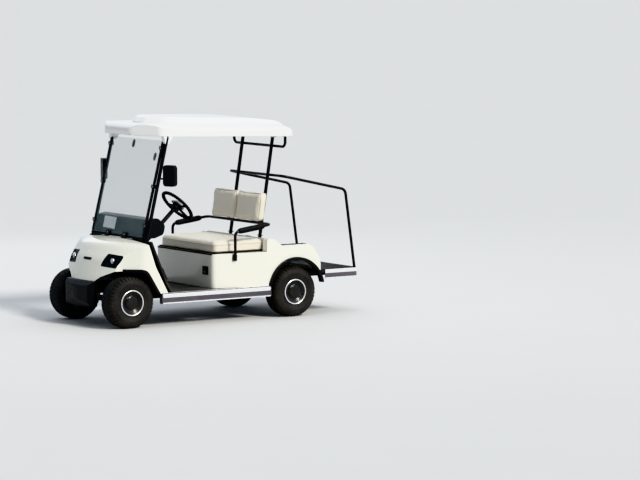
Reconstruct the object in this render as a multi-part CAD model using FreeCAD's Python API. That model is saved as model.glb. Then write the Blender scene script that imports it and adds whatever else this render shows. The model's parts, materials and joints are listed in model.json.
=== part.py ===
import FreeCAD, Part
import math
import os

# Two-seat golf cart with a roof, a bag deck and a standing platform at the back.
# Lengths are millimetres and angles degrees. X points forward, Y to the left, Z up.
# Everything is laid out from the front axle's line on the ground, and move_to_middle() then
# brings the middle of the whole length to X = 0.

V = FreeCAD.Vector

# Overall: the front axle is at X = 0 and the rear axle at REAR_X
WHEELBASE = 1715.0
REAR_X = -WHEELBASE
BODY_HALF = 590.0
ROOF_TOP_Z = 1856.0
ROOF_EDGE_Z = ROOF_TOP_Z - 160.0

# Wheels
FRONT_TRACK = 950.0
REAR_TRACK = 990.0
TYRE_RADIUS = 230.0
TYRE_WIDTH = 205.0
TYRE_SHOULDER = 58.0
BEAD_RADIUS = 104.0
BEAD_WIDTH = 170.0
RIM_WALL = 4.0
RIM_FLANGE = 14.0
RIM_GAP = 0.3
DISC_INSET = 34.0
HUB_RADIUS = 34.0
STUD_CIRCLE = 50.8
STUD_RADIUS = 6.0
STUD_LENGTH = 28.0
STUD_COUNT = 4
VENT_CIRCLE = 76.0
VENT_RADIUS = 11.0
VENT_COUNT = 8

# Steering
KINGPIN_Y = FRONT_TRACK / 2 - 125.0
KINGPIN_RADIUS = 11.0
SLEEVE_RADIUS = 21.0
SLEEVE_HEIGHT = 84.0
EAR_THICKNESS = 12.0
FACE_GAP = 0.3
PIN_GAP = 0.08
SPINDLE_RADIUS = 15.0
ARM_LENGTH = 130.0
ARM_WIDTH = 30.0
ARM_THICKNESS = 14.0
BALL_RADIUS = 9.0
TIE_ROD_RADIUS = 8.0
TIE_ROD_GAP = 3.0
PITMAN_X = -60.0
PITMAN_Y = 100.0
PITMAN_RADIUS = 12.0
BOX_SIZE = (80.0, 90.0, 86.0)
WHEEL_DIAMETER = 350.0
WHEEL_GRIP = 14.0
WHEEL_HUB = (-638.0, 290.0, 1055.0)
COLUMN_TILT = 43.0
COLUMN_LENGTH = 500.0
COLUMN_RADIUS = 19.0
SHAFT_RADIUS = 12.0
HUB_DEPTH = 38.0

# Frame, axles and drive
RAIL_Y = 200.0
RAIL_WIDTH = 44.0
RAIL_HEIGHT = 60.0
RAIL_FRONT_Z = 330.0
RAIL_MID_Z = 245.0
RAIL_REAR_Z = 350.0
RAIL_NOSE_X = 175.0
AXLE_SIZE = 46.0
REAR_TUBE_RADIUS = 36.0
DIFF_RADIUS = 92.0
DIFF_WIDTH = 150.0
MOTOR_RADIUS = 92.0
MOTOR_LENGTH = 270.0
MOTOR_RISE = 30.0
SPRING_WIDTH = 44.0
SPRING_LEAF = 7.0
SPRING_HALF = 200.0
BATTERY_SIZE = (400.0, 760.0, 275.0)
BATTERY_BACK = 28.0

# White body mouldings
BODY_WALL = 5.0
COWL_TOP_Z = 779.0
COWL_REAR_X = -150.0
COWL_TAIL_X = -357.0
COWL_NOSE_X = 199.0
COWL_BOTTOM_Z = 408.0
COWL_SWEEP = 1345.0
COWL_LIP_X = -190.0
ARCH_TOP_Z = 526.0
CORNER_X = 34.0
LINER_WALL = 4.0
LINER_BACK = 30.0
REAR_ARCH = 303.0
REAR_ARCH_AT = (REAR_X - 12.0, TYRE_RADIUS + 15.0)
TRIM_DEPTH = 26.0
TRIM_OUT = BODY_HALF + 11.0
TRIM_WIDTH = 50.0
SEAT_FRONT_X = REAR_X + 835.0
SEAT_HALF = BODY_HALF - 90.0
SEAT_TOP_Z = 611.0
DECK_TOP_Z = 733.0
DECK_X = REAR_X + 290.0
DECK_STEP_X = REAR_X + 155.0
QUARTER_Z = 656.0
BODY_END_X = REAR_X - 337.0
TAIL_Z = 410.0
WELL_HALF = BODY_HALF - 120.0
WELL_Z = 505.0
WELL_SHEET = 5.0
WELL_RIM = 14.0

# Floor and sills
FLOOR_Z = 300.0
FLOOR_SHEET = 20.0
TOE_TOP = (-212.0, COWL_TOP_Z - 19.0)
TOE_FOOT_X = -372.0
SILL_OUT = BODY_HALF + 6.0
SILL_WIDTH = 48.0
SILL_HEIGHT = 96.0
SILL_FRONT_X = -300.0
SILL_REAR_X = -WHEELBASE + 275.0
SILL_WALL = 4.0

# Seat
PAN_SHEET = 8.0
CUSHION_HEIGHT = 104.0
CUSHION_ROUND = 38.0
CUSHION_FRONT_X = SEAT_FRONT_X - 20.0
CUSHION_REAR_X = SEAT_FRONT_X - 587.0
CUSHION_HALF = SEAT_HALF - 8.0
BACK_HALF = CUSHION_HALF - 85.0
BACK_LOW_Z = SEAT_TOP_Z + 267.0
BACK_HEIGHT = 252.0
BACK_THICK = 88.0
BACK_FRONT_X = SEAT_FRONT_X - 532.0
BACK_LEAN = 8.0
BACK_SPLIT = 16.0
ARM_Y = BODY_HALF - 41.0
ARM_X = SEAT_FRONT_X - 212.0
ARM_FOOT_Z = SEAT_TOP_Z - 51.0
ARM_TOP_Z = SEAT_TOP_Z + 198.0
ARM_REAR = (SEAT_FRONT_X - 594.0, SEAT_TOP_Z + 247.0)
ARM_TUBE = 13.0
HINGE_AT = (SEAT_FRONT_X - 8.0, SEAT_TOP_Z + 7.5)
HINGE_RADIUS = 6.0
HINGE_PIN = 3.0
HINGE_Y = 200.0
HINGE_WIDTH = 22.0
SEAT_RECESS = 10.0

# Posts, screen and roof
POST_RADIUS = 16.0
FRONT_POST_Y = BODY_HALF - 110.0
FRONT_POST_FOOT = (-182.0, 690.0)
FRONT_POST_TOP = (-425.0, ROOF_EDGE_Z)
REAR_POST_Y = 253.0
REAR_POST_DECK = (REAR_X + 168.0, 745.0)
REAR_POST_TOP = (REAR_X + 17.0, ROOF_EDGE_Z)
SCREEN_SHEET = 5.0
SCREEN_GAP = 0.3
SCREEN_FOOT_Y = 150.0
SCREEN_FOOT_HALF = 30.0
SCREEN_CLIPS = (900.0, 1250.0, 1590.0)
SCREEN_LOW = (-182.0, COWL_TOP_Z + 16.0)
SCREEN_HIGH = (-399.0, ROOF_EDGE_Z - 41.0)
SCREEN_HALF_LOW = FRONT_POST_Y - 20.0
SCREEN_HALF_HIGH = SCREEN_HALF_LOW - 18.0
ROOF_FRONT_X = -170.0
ROOF_STEP_X = -372.0
ROOF_REAR_X = -WHEELBASE - 90.0
ROOF_HALF = BODY_HALF - 95.0
ROOF_LIP_Z = ROOF_TOP_Z - 56.0
ROOF_SHOULDER_Z = ROOF_EDGE_Z + 76.0
ROOF_DROOP = 1.9
ROOF_CROWN_HALF = 300.0
CROWN_LEAN = 70.0
ROOF_WALL = 6.0
SOCKET_RADIUS = 27.0

# Rails at the back, platform and bumper
RAIL_TUBE = 13.0
HOOP_X = REAR_X + 50.0
HOOP_Z = 1285.0
HOOP_HALF = BODY_HALF - 117.0
HOOP_BEND = (REAR_X - 627.0, 1135.0)
HOOP_FOOT_X = REAR_X - 730.0
BAR_X = REAR_X + 10.0
BAR_HALF = BODY_HALF - 150.0
BAR_Z = ROOF_EDGE_Z - 145.0
PLATFORM_FRONT_X = REAR_X - 327.0
PLATFORM_REAR_X = REAR_X - 755.0
PLATFORM_HALF = BODY_HALF - 90.0
PLATFORM_Z = 405.0
PLATFORM_DEPTH = 84.0
EDGE_WALL = 5.0
EDGE_FRONT_X = REAR_X - 384.0
BUMPER_NOSE_X = 268.0
BUMPER_HALF = 240.0
BUMPER_TOP_Z = COWL_BOTTOM_Z
BUMPER_LOW_Z = 160.0

# Small parts
LAMP_DEPTH = 24.0
DASH_HALF = FRONT_POST_Y - 25.0
POCKET_INNER = 120.0
POCKET_OUTER = DASH_HALF - 15.0
MIRROR_SIZE = (42.0, 132.0, 190.0)
MIRROR_Y = FRONT_POST_Y + 110.0
MIRROR_Z = ROOF_EDGE_Z - 346.0
MIRROR_X = -384.0
MIRROR_ARM = 8.0
MIRROR_TURN = 20.0
PEDALS = ((330.0, 95.0), (200.0, 75.0))
PEDAL_X = -400.0
RECEPTACLE = (SEAT_HALF - 120.0, 458.0, 90.0, 76.0)


def box(x, y, z):
    """A box from its (low, high) pairs."""
    return Part.makeBox(x[1] - x[0], y[1] - y[0], z[1] - z[0], V(x[0], y[0], z[0]))


def cylinder(radius, start, end):
    """A round bar from one point to another."""
    start, end = V(*start), V(*end)
    return Part.makeCylinder(radius, (end - start).Length, start, end - start)


def cornered(corners, place):
    """A closed face through (a, b, radius) corners, each rounded by its own radius."""
    edges, count = [], len(corners)
    starts, ends = [], []
    for i, (a, b, radius) in enumerate(corners):
        here = V(a, b, 0)
        before = V(*corners[i - 1][:2], 0) - here
        after = V(*corners[(i + 1) % count][:2], 0) - here
        before.normalize()
        after.normalize()
        if radius <= 0:
            starts.append(here)
            ends.append(here)
            edges.append(None)
            continue
        half = before.getAngle(after) / 2
        reach = radius / math.tan(half)
        bisector = before + after
        bisector.normalize()
        middle = here + bisector * (radius / math.sin(half) - radius)
        starts.append(here + before * reach)
        ends.append(here + after * reach)
        edges.append(middle)
    wire = []
    for i in range(count):
        if edges[i] is not None:
            points = [place(p.x, p.y) for p in (starts[i], edges[i], ends[i])]
            wire.append(Part.Arc(*points).toShape())
        run = (ends[i], starts[(i + 1) % count])
        if (run[1] - run[0]).Length > 1e-6:
            wire.append(Part.LineSegment(place(run[0].x, run[0].y), place(run[1].x, run[1].y)).toShape())
    return Part.Face(Part.Wire(wire))


def side_form(corners, y):
    """(x, z, radius) corners, drawn out between the y pair."""
    return side_face(corners, y[0]).extrude(V(0, y[1] - y[0], 0))


def plan_form(corners, z):
    """(x, y, radius) corners, drawn out between the z pair."""
    return plan_face(corners, z[0]).extrude(V(0, 0, z[1] - z[0]))


def end_form(corners, x):
    """(y, z, radius) corners, drawn out between the x pair."""
    return end_face(corners, x[0]).extrude(V(x[1] - x[0], 0, 0))


def drawn(face, way, wall):
    """A face drawn out along a vector, and the same with its outline pulled in by the wall."""
    return face.extrude(way), face.makeOffset2D(-wall).extrude(way)


def moulded(*pairs):
    """Where several (outer, inner) forms meet."""
    outer, inner = pairs[0]
    for more_outer, more_inner in pairs[1:]:
        outer, inner = outer.common(more_outer), inner.common(more_inner)
    return outer, inner


def side_face(corners, y):
    """(x, z, radius) corners as a face at one y."""
    return cornered(corners, lambda a, b: V(a, y, b))


def plan_face(corners, z):
    """(x, y, radius) corners as a face at one z."""
    return cornered(corners, lambda a, b: V(a, b, z))


def end_face(corners, x):
    """(y, z, radius) corners as a face at one x."""
    return cornered(corners, lambda a, b: V(x, a, b))


def even(corners):
    """(y, z, radius) corners of the left half, bottom to top, with their mirror images."""
    return [(-a, b, r) for a, b, r in corners[::-1]] + list(corners)


def even_plan(corners):
    """(x, y, radius) corners of the left half, front to back, with their mirror images."""
    return [(a, -b, r) for a, b, r in corners[::-1]] + list(corners)


def mirrored(shape):
    """The same shape on the other side of the middle plane."""
    return shape.mirror(V(0, 0, 0), V(0, 1, 0))


def both(shape):
    """A shape and its mirror image as two solids of one node."""
    return Part.makeCompound(shape.Solids + mirrored(shape).Solids)


def fused(shapes):
    """Touching shapes joined into one."""
    return shapes[0].multiFuse(shapes[1:]).removeSplitter()


def band(points, height):
    """(x, z, radius) corners of a bent bar's middle line, as a closed outline of the given height."""
    upper, lower = [], []
    for i, (x, z, radius) in enumerate(points):
        here = V(x, z, 0)
        into = here - V(*points[i - 1][:2], 0) if i else None
        out = V(*points[i + 1][:2], 0) - here if i + 1 < len(points) else None
        into, out = into or out, out or into
        into.normalize()
        out.normalize()
        normal = V(-into.y - out.y, into.x + out.x, 0)
        normal.normalize()
        step = height / 2 / normal.dot(V(-into.y, into.x, 0))
        grow = height / 2 if radius else 0
        turn = into.x * out.y - into.y * out.x
        upper.append((x + normal.x * step, z + normal.y * step, radius + (-grow if turn > 0 else grow)))
        lower.append((x - normal.x * step, z - normal.y * step, radius + (grow if turn > 0 else -grow)))
    return upper + lower[::-1]


def route(points, bend):
    """A wire of straight runs joined by tangent arcs."""
    points = [V(*p) for p in points]
    edges, last = [], points[0]
    for before, here, after in zip(points, points[1:], points[2:]):
        into, out = before - here, after - here
        into.normalize()
        out.normalize()
        half = into.getAngle(out) / 2
        reach = bend / math.tan(half)
        bisector = into + out
        bisector.normalize()
        middle = here + bisector * (bend / math.sin(half) - bend)
        edges.append(Part.LineSegment(last, here + into * reach).toShape())
        edges.append(Part.Arc(here + into * reach, middle, here + out * reach).toShape())
        last = here + out * reach
    edges.append(Part.LineSegment(last, points[-1]).toShape())
    return Part.Wire(edges)


def tube(points, radius, bend=0.0):
    """A round bar along a route with rounded corners."""
    path = route(points, bend)
    start = V(*points[0])
    way = V(*points[1]) - start
    ring = Part.Wire(Part.Circle(start, way, radius).toShape())
    return Part.Solid(path.makePipeShell([ring], True, True))


def spun(profile, centre):
    """(radius, y) corners turned about the Y line through the centre."""
    corners = [(r + centre[0], y, radius) for r, y, radius in profile]
    face = cornered(corners, lambda a, b: V(a, b, centre[2]))
    return face.revolve(V(centre[0], 0, centre[2]), V(0, 1, 0), 360)


def rear_arch(radius, y):
    """The round cut that a rear wheel arch makes between the y pair."""
    x, z = REAR_ARCH_AT
    return cylinder(radius, (x, y[0], z), (x, y[1], z))


def tyre(x, y):
    """A tyre with rounded shoulders and a flat tread, centred on the wheel."""
    half, bead = TYRE_WIDTH / 2, BEAD_WIDTH / 2
    profile = (
        (BEAD_RADIUS, -bead, 0), (BEAD_RADIUS + RIM_FLANGE, -bead, 0),
        (TYRE_RADIUS - TYRE_SHOULDER, -half, 30),
        (TYRE_RADIUS, -half + 20, TYRE_SHOULDER * 0.7), (TYRE_RADIUS, half - 20, TYRE_SHOULDER * 0.7),
        (TYRE_RADIUS - TYRE_SHOULDER, half, 30), (BEAD_RADIUS + RIM_FLANGE, bead, 0), (BEAD_RADIUS, bead, 0),
    )
    ring = spun(profile, (x, y, TYRE_RADIUS))
    ring.translate(V(0, y, 0))
    return ring


def rim(x, y):
    """A pressed wheel: barrel, two flanges, a dished disc with vents and studs, and the hub behind it."""
    out = 1 if y > 0 else -1
    bead, barrel = BEAD_WIDTH / 2, BEAD_RADIUS - RIM_GAP
    profile = (
        (barrel - RIM_WALL, -bead - RIM_WALL, 0), (barrel + RIM_FLANGE, -bead - RIM_WALL, 0),
        (barrel + RIM_FLANGE, -bead - RIM_GAP, 0), (barrel, -bead - RIM_GAP, 0),
        (barrel, bead + RIM_GAP, 0), (barrel + RIM_FLANGE, bead + RIM_GAP, 0),
        (barrel + RIM_FLANGE, bead + RIM_WALL, 0), (barrel - RIM_WALL, bead + RIM_WALL, 0),
    )
    disc_y = bead - DISC_INSET
    pieces = [spun(profile, (0, 0, 0)),
              cylinder(barrel - RIM_WALL / 2, (0, disc_y, 0), (0, disc_y + 6, 0)),
              cylinder(HUB_RADIUS, (0, -30, 0), (0, disc_y + 24, 0))]
    first = 0.5 if out > 0 else 0.0
    for i in range(STUD_COUNT):
        a = math.radians(360 / STUD_COUNT * (i + first))
        sx, sz = STUD_CIRCLE * math.cos(a), STUD_CIRCLE * math.sin(a)
        pieces.append(cylinder(STUD_RADIUS, (sx, disc_y, sz), (sx, disc_y + STUD_LENGTH, sz)))
    wheel = fused(pieces)
    for i in range(VENT_COUNT):
        a = math.radians(360 / VENT_COUNT * i)
        vx, vz = VENT_CIRCLE * math.cos(a), VENT_CIRCLE * math.sin(a)
        wheel = wheel.cut(cylinder(VENT_RADIUS, (vx, disc_y - 5, vz), (vx, disc_y + 12, vz)))
    wheel = wheel.cut(cylinder(SPINDLE_RADIUS + PIN_GAP, (0, -40, 0), (0, disc_y + 8, 0)))
    if out < 0:
        wheel = mirrored(wheel)
    wheel.translate(V(x, y, TYRE_RADIUS))
    return wheel


def front_axle():
    """A square beam with a fork at each end, and the two kingpins."""
    half = AXLE_SIZE / 2
    low, high = TYRE_RADIUS - SLEEVE_HEIGHT / 2, TYRE_RADIUS + SLEEVE_HEIGHT / 2
    inner = KINGPIN_Y - SLEEVE_RADIUS - 14
    pieces = [box((-half, half), (-inner + 10, inner - 10), (TYRE_RADIUS - half, TYRE_RADIUS + half))]
    for side in (1, -1):
        y = sorted((side * (inner - 20), side * inner))
        pieces.append(box((-half, half), y, (low - EAR_THICKNESS - FACE_GAP,
                                             high + EAR_THICKNESS + FACE_GAP)))
        for z in (low - FACE_GAP - EAR_THICKNESS, high + FACE_GAP):
            y = sorted((side * (inner - 20), side * KINGPIN_Y))
            pieces.append(box((-half, half), y, (z, z + EAR_THICKNESS)))
            pieces.append(cylinder(half, (0, side * KINGPIN_Y, z), (0, side * KINGPIN_Y, z + EAR_THICKNESS)))
        pin = (low - EAR_THICKNESS - FACE_GAP, high + EAR_THICKNESS + FACE_GAP)
        pieces.append(cylinder(KINGPIN_RADIUS, (0, side * KINGPIN_Y, pin[0]), (0, side * KINGPIN_Y, pin[1])))
    return fused(pieces)


def arm_z():
    """Low and high face of the steering arms."""
    low = TYRE_RADIUS - SLEEVE_HEIGHT / 2
    return low, low + ARM_THICKNESS


def rod_z():
    """Height of the tie rod's middle line."""
    return arm_z()[1] + TIE_ROD_GAP + TIE_ROD_RADIUS + 2


def knuckle(side):
    """Sleeve on the kingpin, spindle for the wheel, and an arm back to the tie rod's pin."""
    y = side * KINGPIN_Y
    low, high = TYRE_RADIUS - SLEEVE_HEIGHT / 2, TYRE_RADIUS + SLEEVE_HEIGHT / 2
    reach = side * (FRONT_TRACK / 2 + BEAD_WIDTH / 2 - DISC_INSET)
    arm = plan_form(((-ARM_LENGTH - ARM_WIDTH / 2, y - ARM_WIDTH / 2, 14), (0, y - ARM_WIDTH / 2, 0),
                     (0, y + ARM_WIDTH / 2, 0), (-ARM_LENGTH - ARM_WIDTH / 2, y + ARM_WIDTH / 2, 14)),
                     arm_z())
    pin_top = rod_z() + TIE_ROD_RADIUS + 6
    pieces = [cylinder(SLEEVE_RADIUS, (0, y, low), (0, y, high)), arm,
              cylinder(SPINDLE_RADIUS, (0, y, TYRE_RADIUS), (0, reach, TYRE_RADIUS)),
              cylinder(BALL_RADIUS, (-ARM_LENGTH, y, arm_z()[0]), (-ARM_LENGTH, y, pin_top))]
    return fused(pieces).cut(cylinder(KINGPIN_RADIUS + PIN_GAP, (0, y, low - 5), (0, y, high + 5)))


def tie_rod():
    """A rod with an eye round each arm's pin, and a lug back to the pitman arm's pin."""
    z = rod_z()
    eye, half = BALL_RADIUS + 7, TIE_ROD_RADIUS + 2
    ends = [cylinder(eye, (-ARM_LENGTH, s * KINGPIN_Y, z - half), (-ARM_LENGTH, s * KINGPIN_Y, z + half))
            for s in (1, -1)]
    rod = cylinder(TIE_ROD_RADIUS, (-ARM_LENGTH, -KINGPIN_Y + 12, z), (-ARM_LENGTH, KINGPIN_Y - 12, z))
    lug_x = PITMAN_X - ARM_LENGTH
    lug = plan_form(((lug_x - 18, PITMAN_Y - 18, 12), (-ARM_LENGTH, PITMAN_Y - 18, 0),
                     (-ARM_LENGTH, PITMAN_Y + 18, 0), (lug_x - 18, PITMAN_Y + 18, 12)), (z - 5, z + 5))
    shape = fused(ends + [rod, lug])
    for x, y in ((-ARM_LENGTH, KINGPIN_Y), (-ARM_LENGTH, -KINGPIN_Y), (lug_x, PITMAN_Y)):
        shape = shape.cut(cylinder(BALL_RADIUS + PIN_GAP, (x, y, z - 20), (x, y, z + 20)))
    return shape


def pitman_arm():
    """Arm under the steering box, as long as the knuckles' arms, with a pin up into the tie rod's lug."""
    low = arm_z()[0]
    y = PITMAN_Y
    arm = plan_form(((PITMAN_X - ARM_LENGTH - 15, y - 15, 13), (PITMAN_X + 18, y - 15, 13),
                     (PITMAN_X + 18, y + 15, 13), (PITMAN_X - ARM_LENGTH - 15, y + 15, 13)),
                     (low, low + ARM_THICKNESS))
    end = PITMAN_X - ARM_LENGTH
    return fused([arm, cylinder(PITMAN_RADIUS, (PITMAN_X, y, low), (PITMAN_X, y, steering_box_low() + 20)),
                  cylinder(BALL_RADIUS, (end, y, low), (end, y, rod_z() + 12))])


def steering_box_low():
    """Bottom of the steering box, above the tie rod."""
    return rod_z() + TIE_ROD_RADIUS + 18


def steering_box():
    """A cast box bolted to the left rail's inner side, bored for the pitman shaft."""
    dx, dy, dz = BOX_SIZE
    low = steering_box_low()
    y = (PITMAN_Y - dy / 2, RAIL_Y - RAIL_WIDTH / 2)
    body = side_form(((PITMAN_X - dx / 2, low, 10), (PITMAN_X + dx / 2 - 6, low, 10),
                      (PITMAN_X + dx / 2 - 6, low + dz, 10),
                      (PITMAN_X - dx / 2, low + dz, 10)), y)
    return body.cut(cylinder(PITMAN_RADIUS + PIN_GAP, (PITMAN_X, PITMAN_Y, low - 5),
                             (PITMAN_X, PITMAN_Y, low + 22)))


def frame():
    """Two bent box rails with cross-members and outriggers."""
    path = ((RAIL_NOSE_X, RAIL_FRONT_Z, 0), (-240, RAIL_FRONT_Z, 60), (-330, RAIL_MID_Z, 60),
            (-1340, RAIL_MID_Z, 60), (-1450, RAIL_REAR_Z, 60), (PLATFORM_REAR_X + 30, RAIL_REAR_Z, 0))
    outline = band(path, RAIL_HEIGHT)
    rails = [side_form(outline, (s * RAIL_Y - RAIL_WIDTH / 2, s * RAIL_Y + RAIL_WIDTH / 2)) for s in (1, -1)]
    low, high = -RAIL_HEIGHT / 2, RAIL_HEIGHT / 2
    crosses = ((RAIL_NOSE_X - 40, RAIL_FRONT_Z, RAIL_Y), (-190, RAIL_FRONT_Z, RAIL_Y),
               (-480, RAIL_MID_Z, SILL_OUT - SILL_WIDTH),
               (-1180, RAIL_MID_Z, SILL_OUT - SILL_WIDTH), (-1640, RAIL_REAR_Z, RAIL_Y),
               (PLATFORM_FRONT_X - 60, RAIL_REAR_Z, RAIL_Y),
               (PLATFORM_REAR_X + 70, RAIL_REAR_Z, RAIL_Y))
    bars = [box((x - 20, x + 20), (-y, y), (z + low + 8, z + high - 8)) for x, z, y in crosses]
    post_x, post_z = rear_post_foot()
    for side in (1, -1):
        y = sorted((side * RAIL_Y, side * (REAR_POST_Y + 32)))
        bars.append(box((post_x - 24, post_x + 24), y, (post_z - 44, post_z)))
    return fused(rails + bars)


def leaf_springs():
    """A three-leaf spring under each rail at each axle, with the shackle blocks at its ends."""
    springs = []
    for x, top in ((0.0, RAIL_FRONT_Z - RAIL_HEIGHT / 2), (REAR_X, RAIL_REAR_Z - RAIL_HEIGHT / 2)):
        seat = TYRE_RADIUS + (AXLE_SIZE / 2 if x == 0 else REAR_TUBE_RADIUS + 4)
        y = (RAIL_Y - SPRING_WIDTH / 2, RAIL_Y + SPRING_WIDTH / 2)
        leaves = []
        for i, half in enumerate((110.0, 150.0)):
            leaves.append(box((x - half, x + half), y, (seat + i * SPRING_LEAF,
                                                        seat + (i + 1) * SPRING_LEAF)))
        low = seat + 2 * SPRING_LEAF
        front = min(x + SPRING_HALF, RAIL_NOSE_X if x == 0 else x + SPRING_HALF)
        leaves.append(box((x - SPRING_HALF, front), y, (low, low + SPRING_LEAF)))
        for end in (x - SPRING_HALF, front - 30):
            leaves.append(box((end, end + 30), y, (low + SPRING_LEAF, top)))
        springs.append(fused(leaves))
    return Part.makeCompound([s for spring in springs for s in both(spring).Solids])


def rear_axle():
    """Axle tubes, a round gear case in the middle and a flanged bearing end at each side."""
    x, z = REAR_X, TYRE_RADIUS
    flange = REAR_TRACK / 2 - 45
    reach = REAR_TRACK / 2 + BEAD_WIDTH / 2 - DISC_INSET
    pieces = [cylinder(REAR_TUBE_RADIUS, (x, -flange, z), (x, flange, z)),
              cylinder(DIFF_RADIUS, (x, -DIFF_WIDTH / 2, z), (x, DIFF_WIDTH / 2, z)),
              cylinder(SPINDLE_RADIUS, (x, -reach, z), (x, reach, z))]
    for s in (1, -1):
        pieces.append(cylinder(58, (x, s * (flange - 14), z), (x, s * flange, z)))
        pad = sorted((s * (RAIL_Y - 28), s * (RAIL_Y + 28)))
        pieces.append(box((x - 40, x + 40), pad, (z, z + REAR_TUBE_RADIUS + 4)))
    return fused(pieces)


def drive_motor():
    """Electric motor as one plain drum, in front of the gear case."""
    ahead = math.sqrt((DIFF_RADIUS + MOTOR_RADIUS + FACE_GAP) ** 2 - MOTOR_RISE ** 2)
    x, z = REAR_X + ahead, TYRE_RADIUS + MOTOR_RISE
    return cylinder(MOTOR_RADIUS, (x, -MOTOR_LENGTH / 2 + 10, z), (x, MOTOR_LENGTH / 2 + 10, z))


def battery_pack():
    """The batteries under the seat as one plain block on the rails."""
    dx, dy, dz = BATTERY_SIZE
    low = RAIL_MID_Z + RAIL_HEIGHT / 2
    front = SEAT_FRONT_X - BATTERY_BACK
    return box((front - dx, front), (-dy / 2, dy / 2), (low, low + dz))


def floor_pan():
    """Flat floor and sloping toe board in one sheet, cut for the steering column."""
    line = ((SEAT_FRONT_X + 1, FLOOR_Z - FLOOR_SHEET / 2, 0),
            (TOE_FOOT_X - 60, FLOOR_Z - FLOOR_SHEET / 2, 40),
            (TOE_FOOT_X + 4, FLOOR_Z + 90, 60), (TOE_TOP[0], TOE_TOP[1], 0))
    half = SILL_OUT - SILL_WIDTH
    pan = side_form(band(line, FLOOR_SHEET), (-half, half))
    pan = pan.cut(steering_line(COLUMN_RADIUS + FACE_GAP, 42, COLUMN_LENGTH)).cut(lower_shaft(FACE_GAP))
    return pan.cut(front_posts(FACE_GAP))


def side_sills():
    """A hollow ribbed rail along each side below the door opening."""
    top = FLOOR_Z
    outer = end_form(((SILL_OUT, top - SILL_HEIGHT, 8), (SILL_OUT, top, 10), (SILL_OUT - SILL_WIDTH, top, 0),
                      (SILL_OUT - SILL_WIDTH, top - SILL_HEIGHT, 0)), (SILL_REAR_X, SILL_FRONT_X))
    inner = end_form(((SILL_OUT - SILL_WALL, top - SILL_HEIGHT + SILL_WALL, 4),
                      (SILL_OUT - SILL_WALL, top - SILL_WALL, 6),
                      (SILL_OUT - SILL_WIDTH + SILL_WALL, top - SILL_WALL, 0),
                      (SILL_OUT - SILL_WIDTH + SILL_WALL, top - SILL_HEIGHT + SILL_WALL, 0)),
                     (SILL_REAR_X - 1, SILL_FRONT_X + 1))
    sill = outer.cut(inner)
    for i in range(3):
        z = top - SILL_HEIGHT * (0.28 + 0.2 * i)
        sill = sill.cut(box((SILL_REAR_X - 1, SILL_FRONT_X + 1), (SILL_OUT - 2, SILL_OUT + 1),
                            (z - 4, z + 4)))
    return both(sill)


def cowl_section(x, shoulder, wall):
    """A cross-section of the cowl's width at one x, pulled in by the wall."""
    half, top = BODY_HALF - wall, COWL_TOP_Z + 2 - wall
    return end_face(even(((half, 220 + wall, 0), (half, top, shoulder - wall))), x).Wires[0]


def cowl_plan(wall):
    """The cowl's outline from above, whose front corners lean in towards the top, pulled in by the wall."""
    low = ((259, 400, 60), (85, 478, 120), (-70, BODY_HALF, 160), (-420, BODY_HALF, 0))
    high = ((215, 330, 60), (10, 415, 120), (-150, BODY_HALF - 2, 110), (-420, BODY_HALF - 2, 0))
    wires = []
    for corners, z in ((low, 200), (high, COWL_TOP_Z + 20)):
        face = plan_face(even_plan(corners), z)
        wires.append((face.makeOffset2D(-wall) if wall else face).Wires[0])
    return Part.makeLoft(wires, True, True)


def cowl_forms():
    """Outer and inner form of the nose and front wings.

    The nose's outline is swept round a distant upright line, and the shoulders grow rounder to the front.
    """
    axis_x = COWL_NOSE_X - COWL_SWEEP
    outline = side_face(((-560, 230, 0), (COWL_NOSE_X + 46, 230, 0), (COWL_NOSE_X, COWL_BOTTOM_Z, 90),
                         (127, 606, 170), (22, COWL_TOP_Z - 40, 150), (COWL_REAR_X - 20, COWL_TOP_Z, 160),
                         (-560, COWL_TOP_Z, 0)), 0)
    swept = []
    for face in (outline, outline.makeOffset2D(-BODY_WALL)):
        face.rotate(V(axis_x, 0, 0), V(0, 0, 1), -50)
        swept.append(face.revolve(V(axis_x, 0, 0), V(0, 0, 1), 100))
    stations = ((-400, 38), (-160, 40), (-60, 130), (60, 230), (260, 300))
    plans = [cowl_plan(wall) for wall in (0, BODY_WALL)]
    ribs = [Part.makeLoft([cowl_section(x, shoulder, wall) for x, shoulder in stations], True)
            for wall in (0, BODY_WALL)]
    return moulded(swept, plans, ribs)


def front_arch(back=0.0):
    """(x, z, radius) corners of the front wheel arch seen from the side, its slope moved back."""
    return ((400, 200, 0), (400, ARCH_TOP_Z, 0), (-138 - back, ARCH_TOP_Z - 2, 90), (-314 - back, 235, 0),
            (-318 - back, 200, 0))


def lamp_form(grow=0.0):
    """The lamps' slanted outline, drawn out along X."""
    return end_form(((224 - grow, 542 - grow, 12), (421 + grow, 531 - grow, 12),
                     (448 + grow, 641 + grow, 14), (256 - grow, 652 + grow, 14)), (-150, 400))


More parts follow.
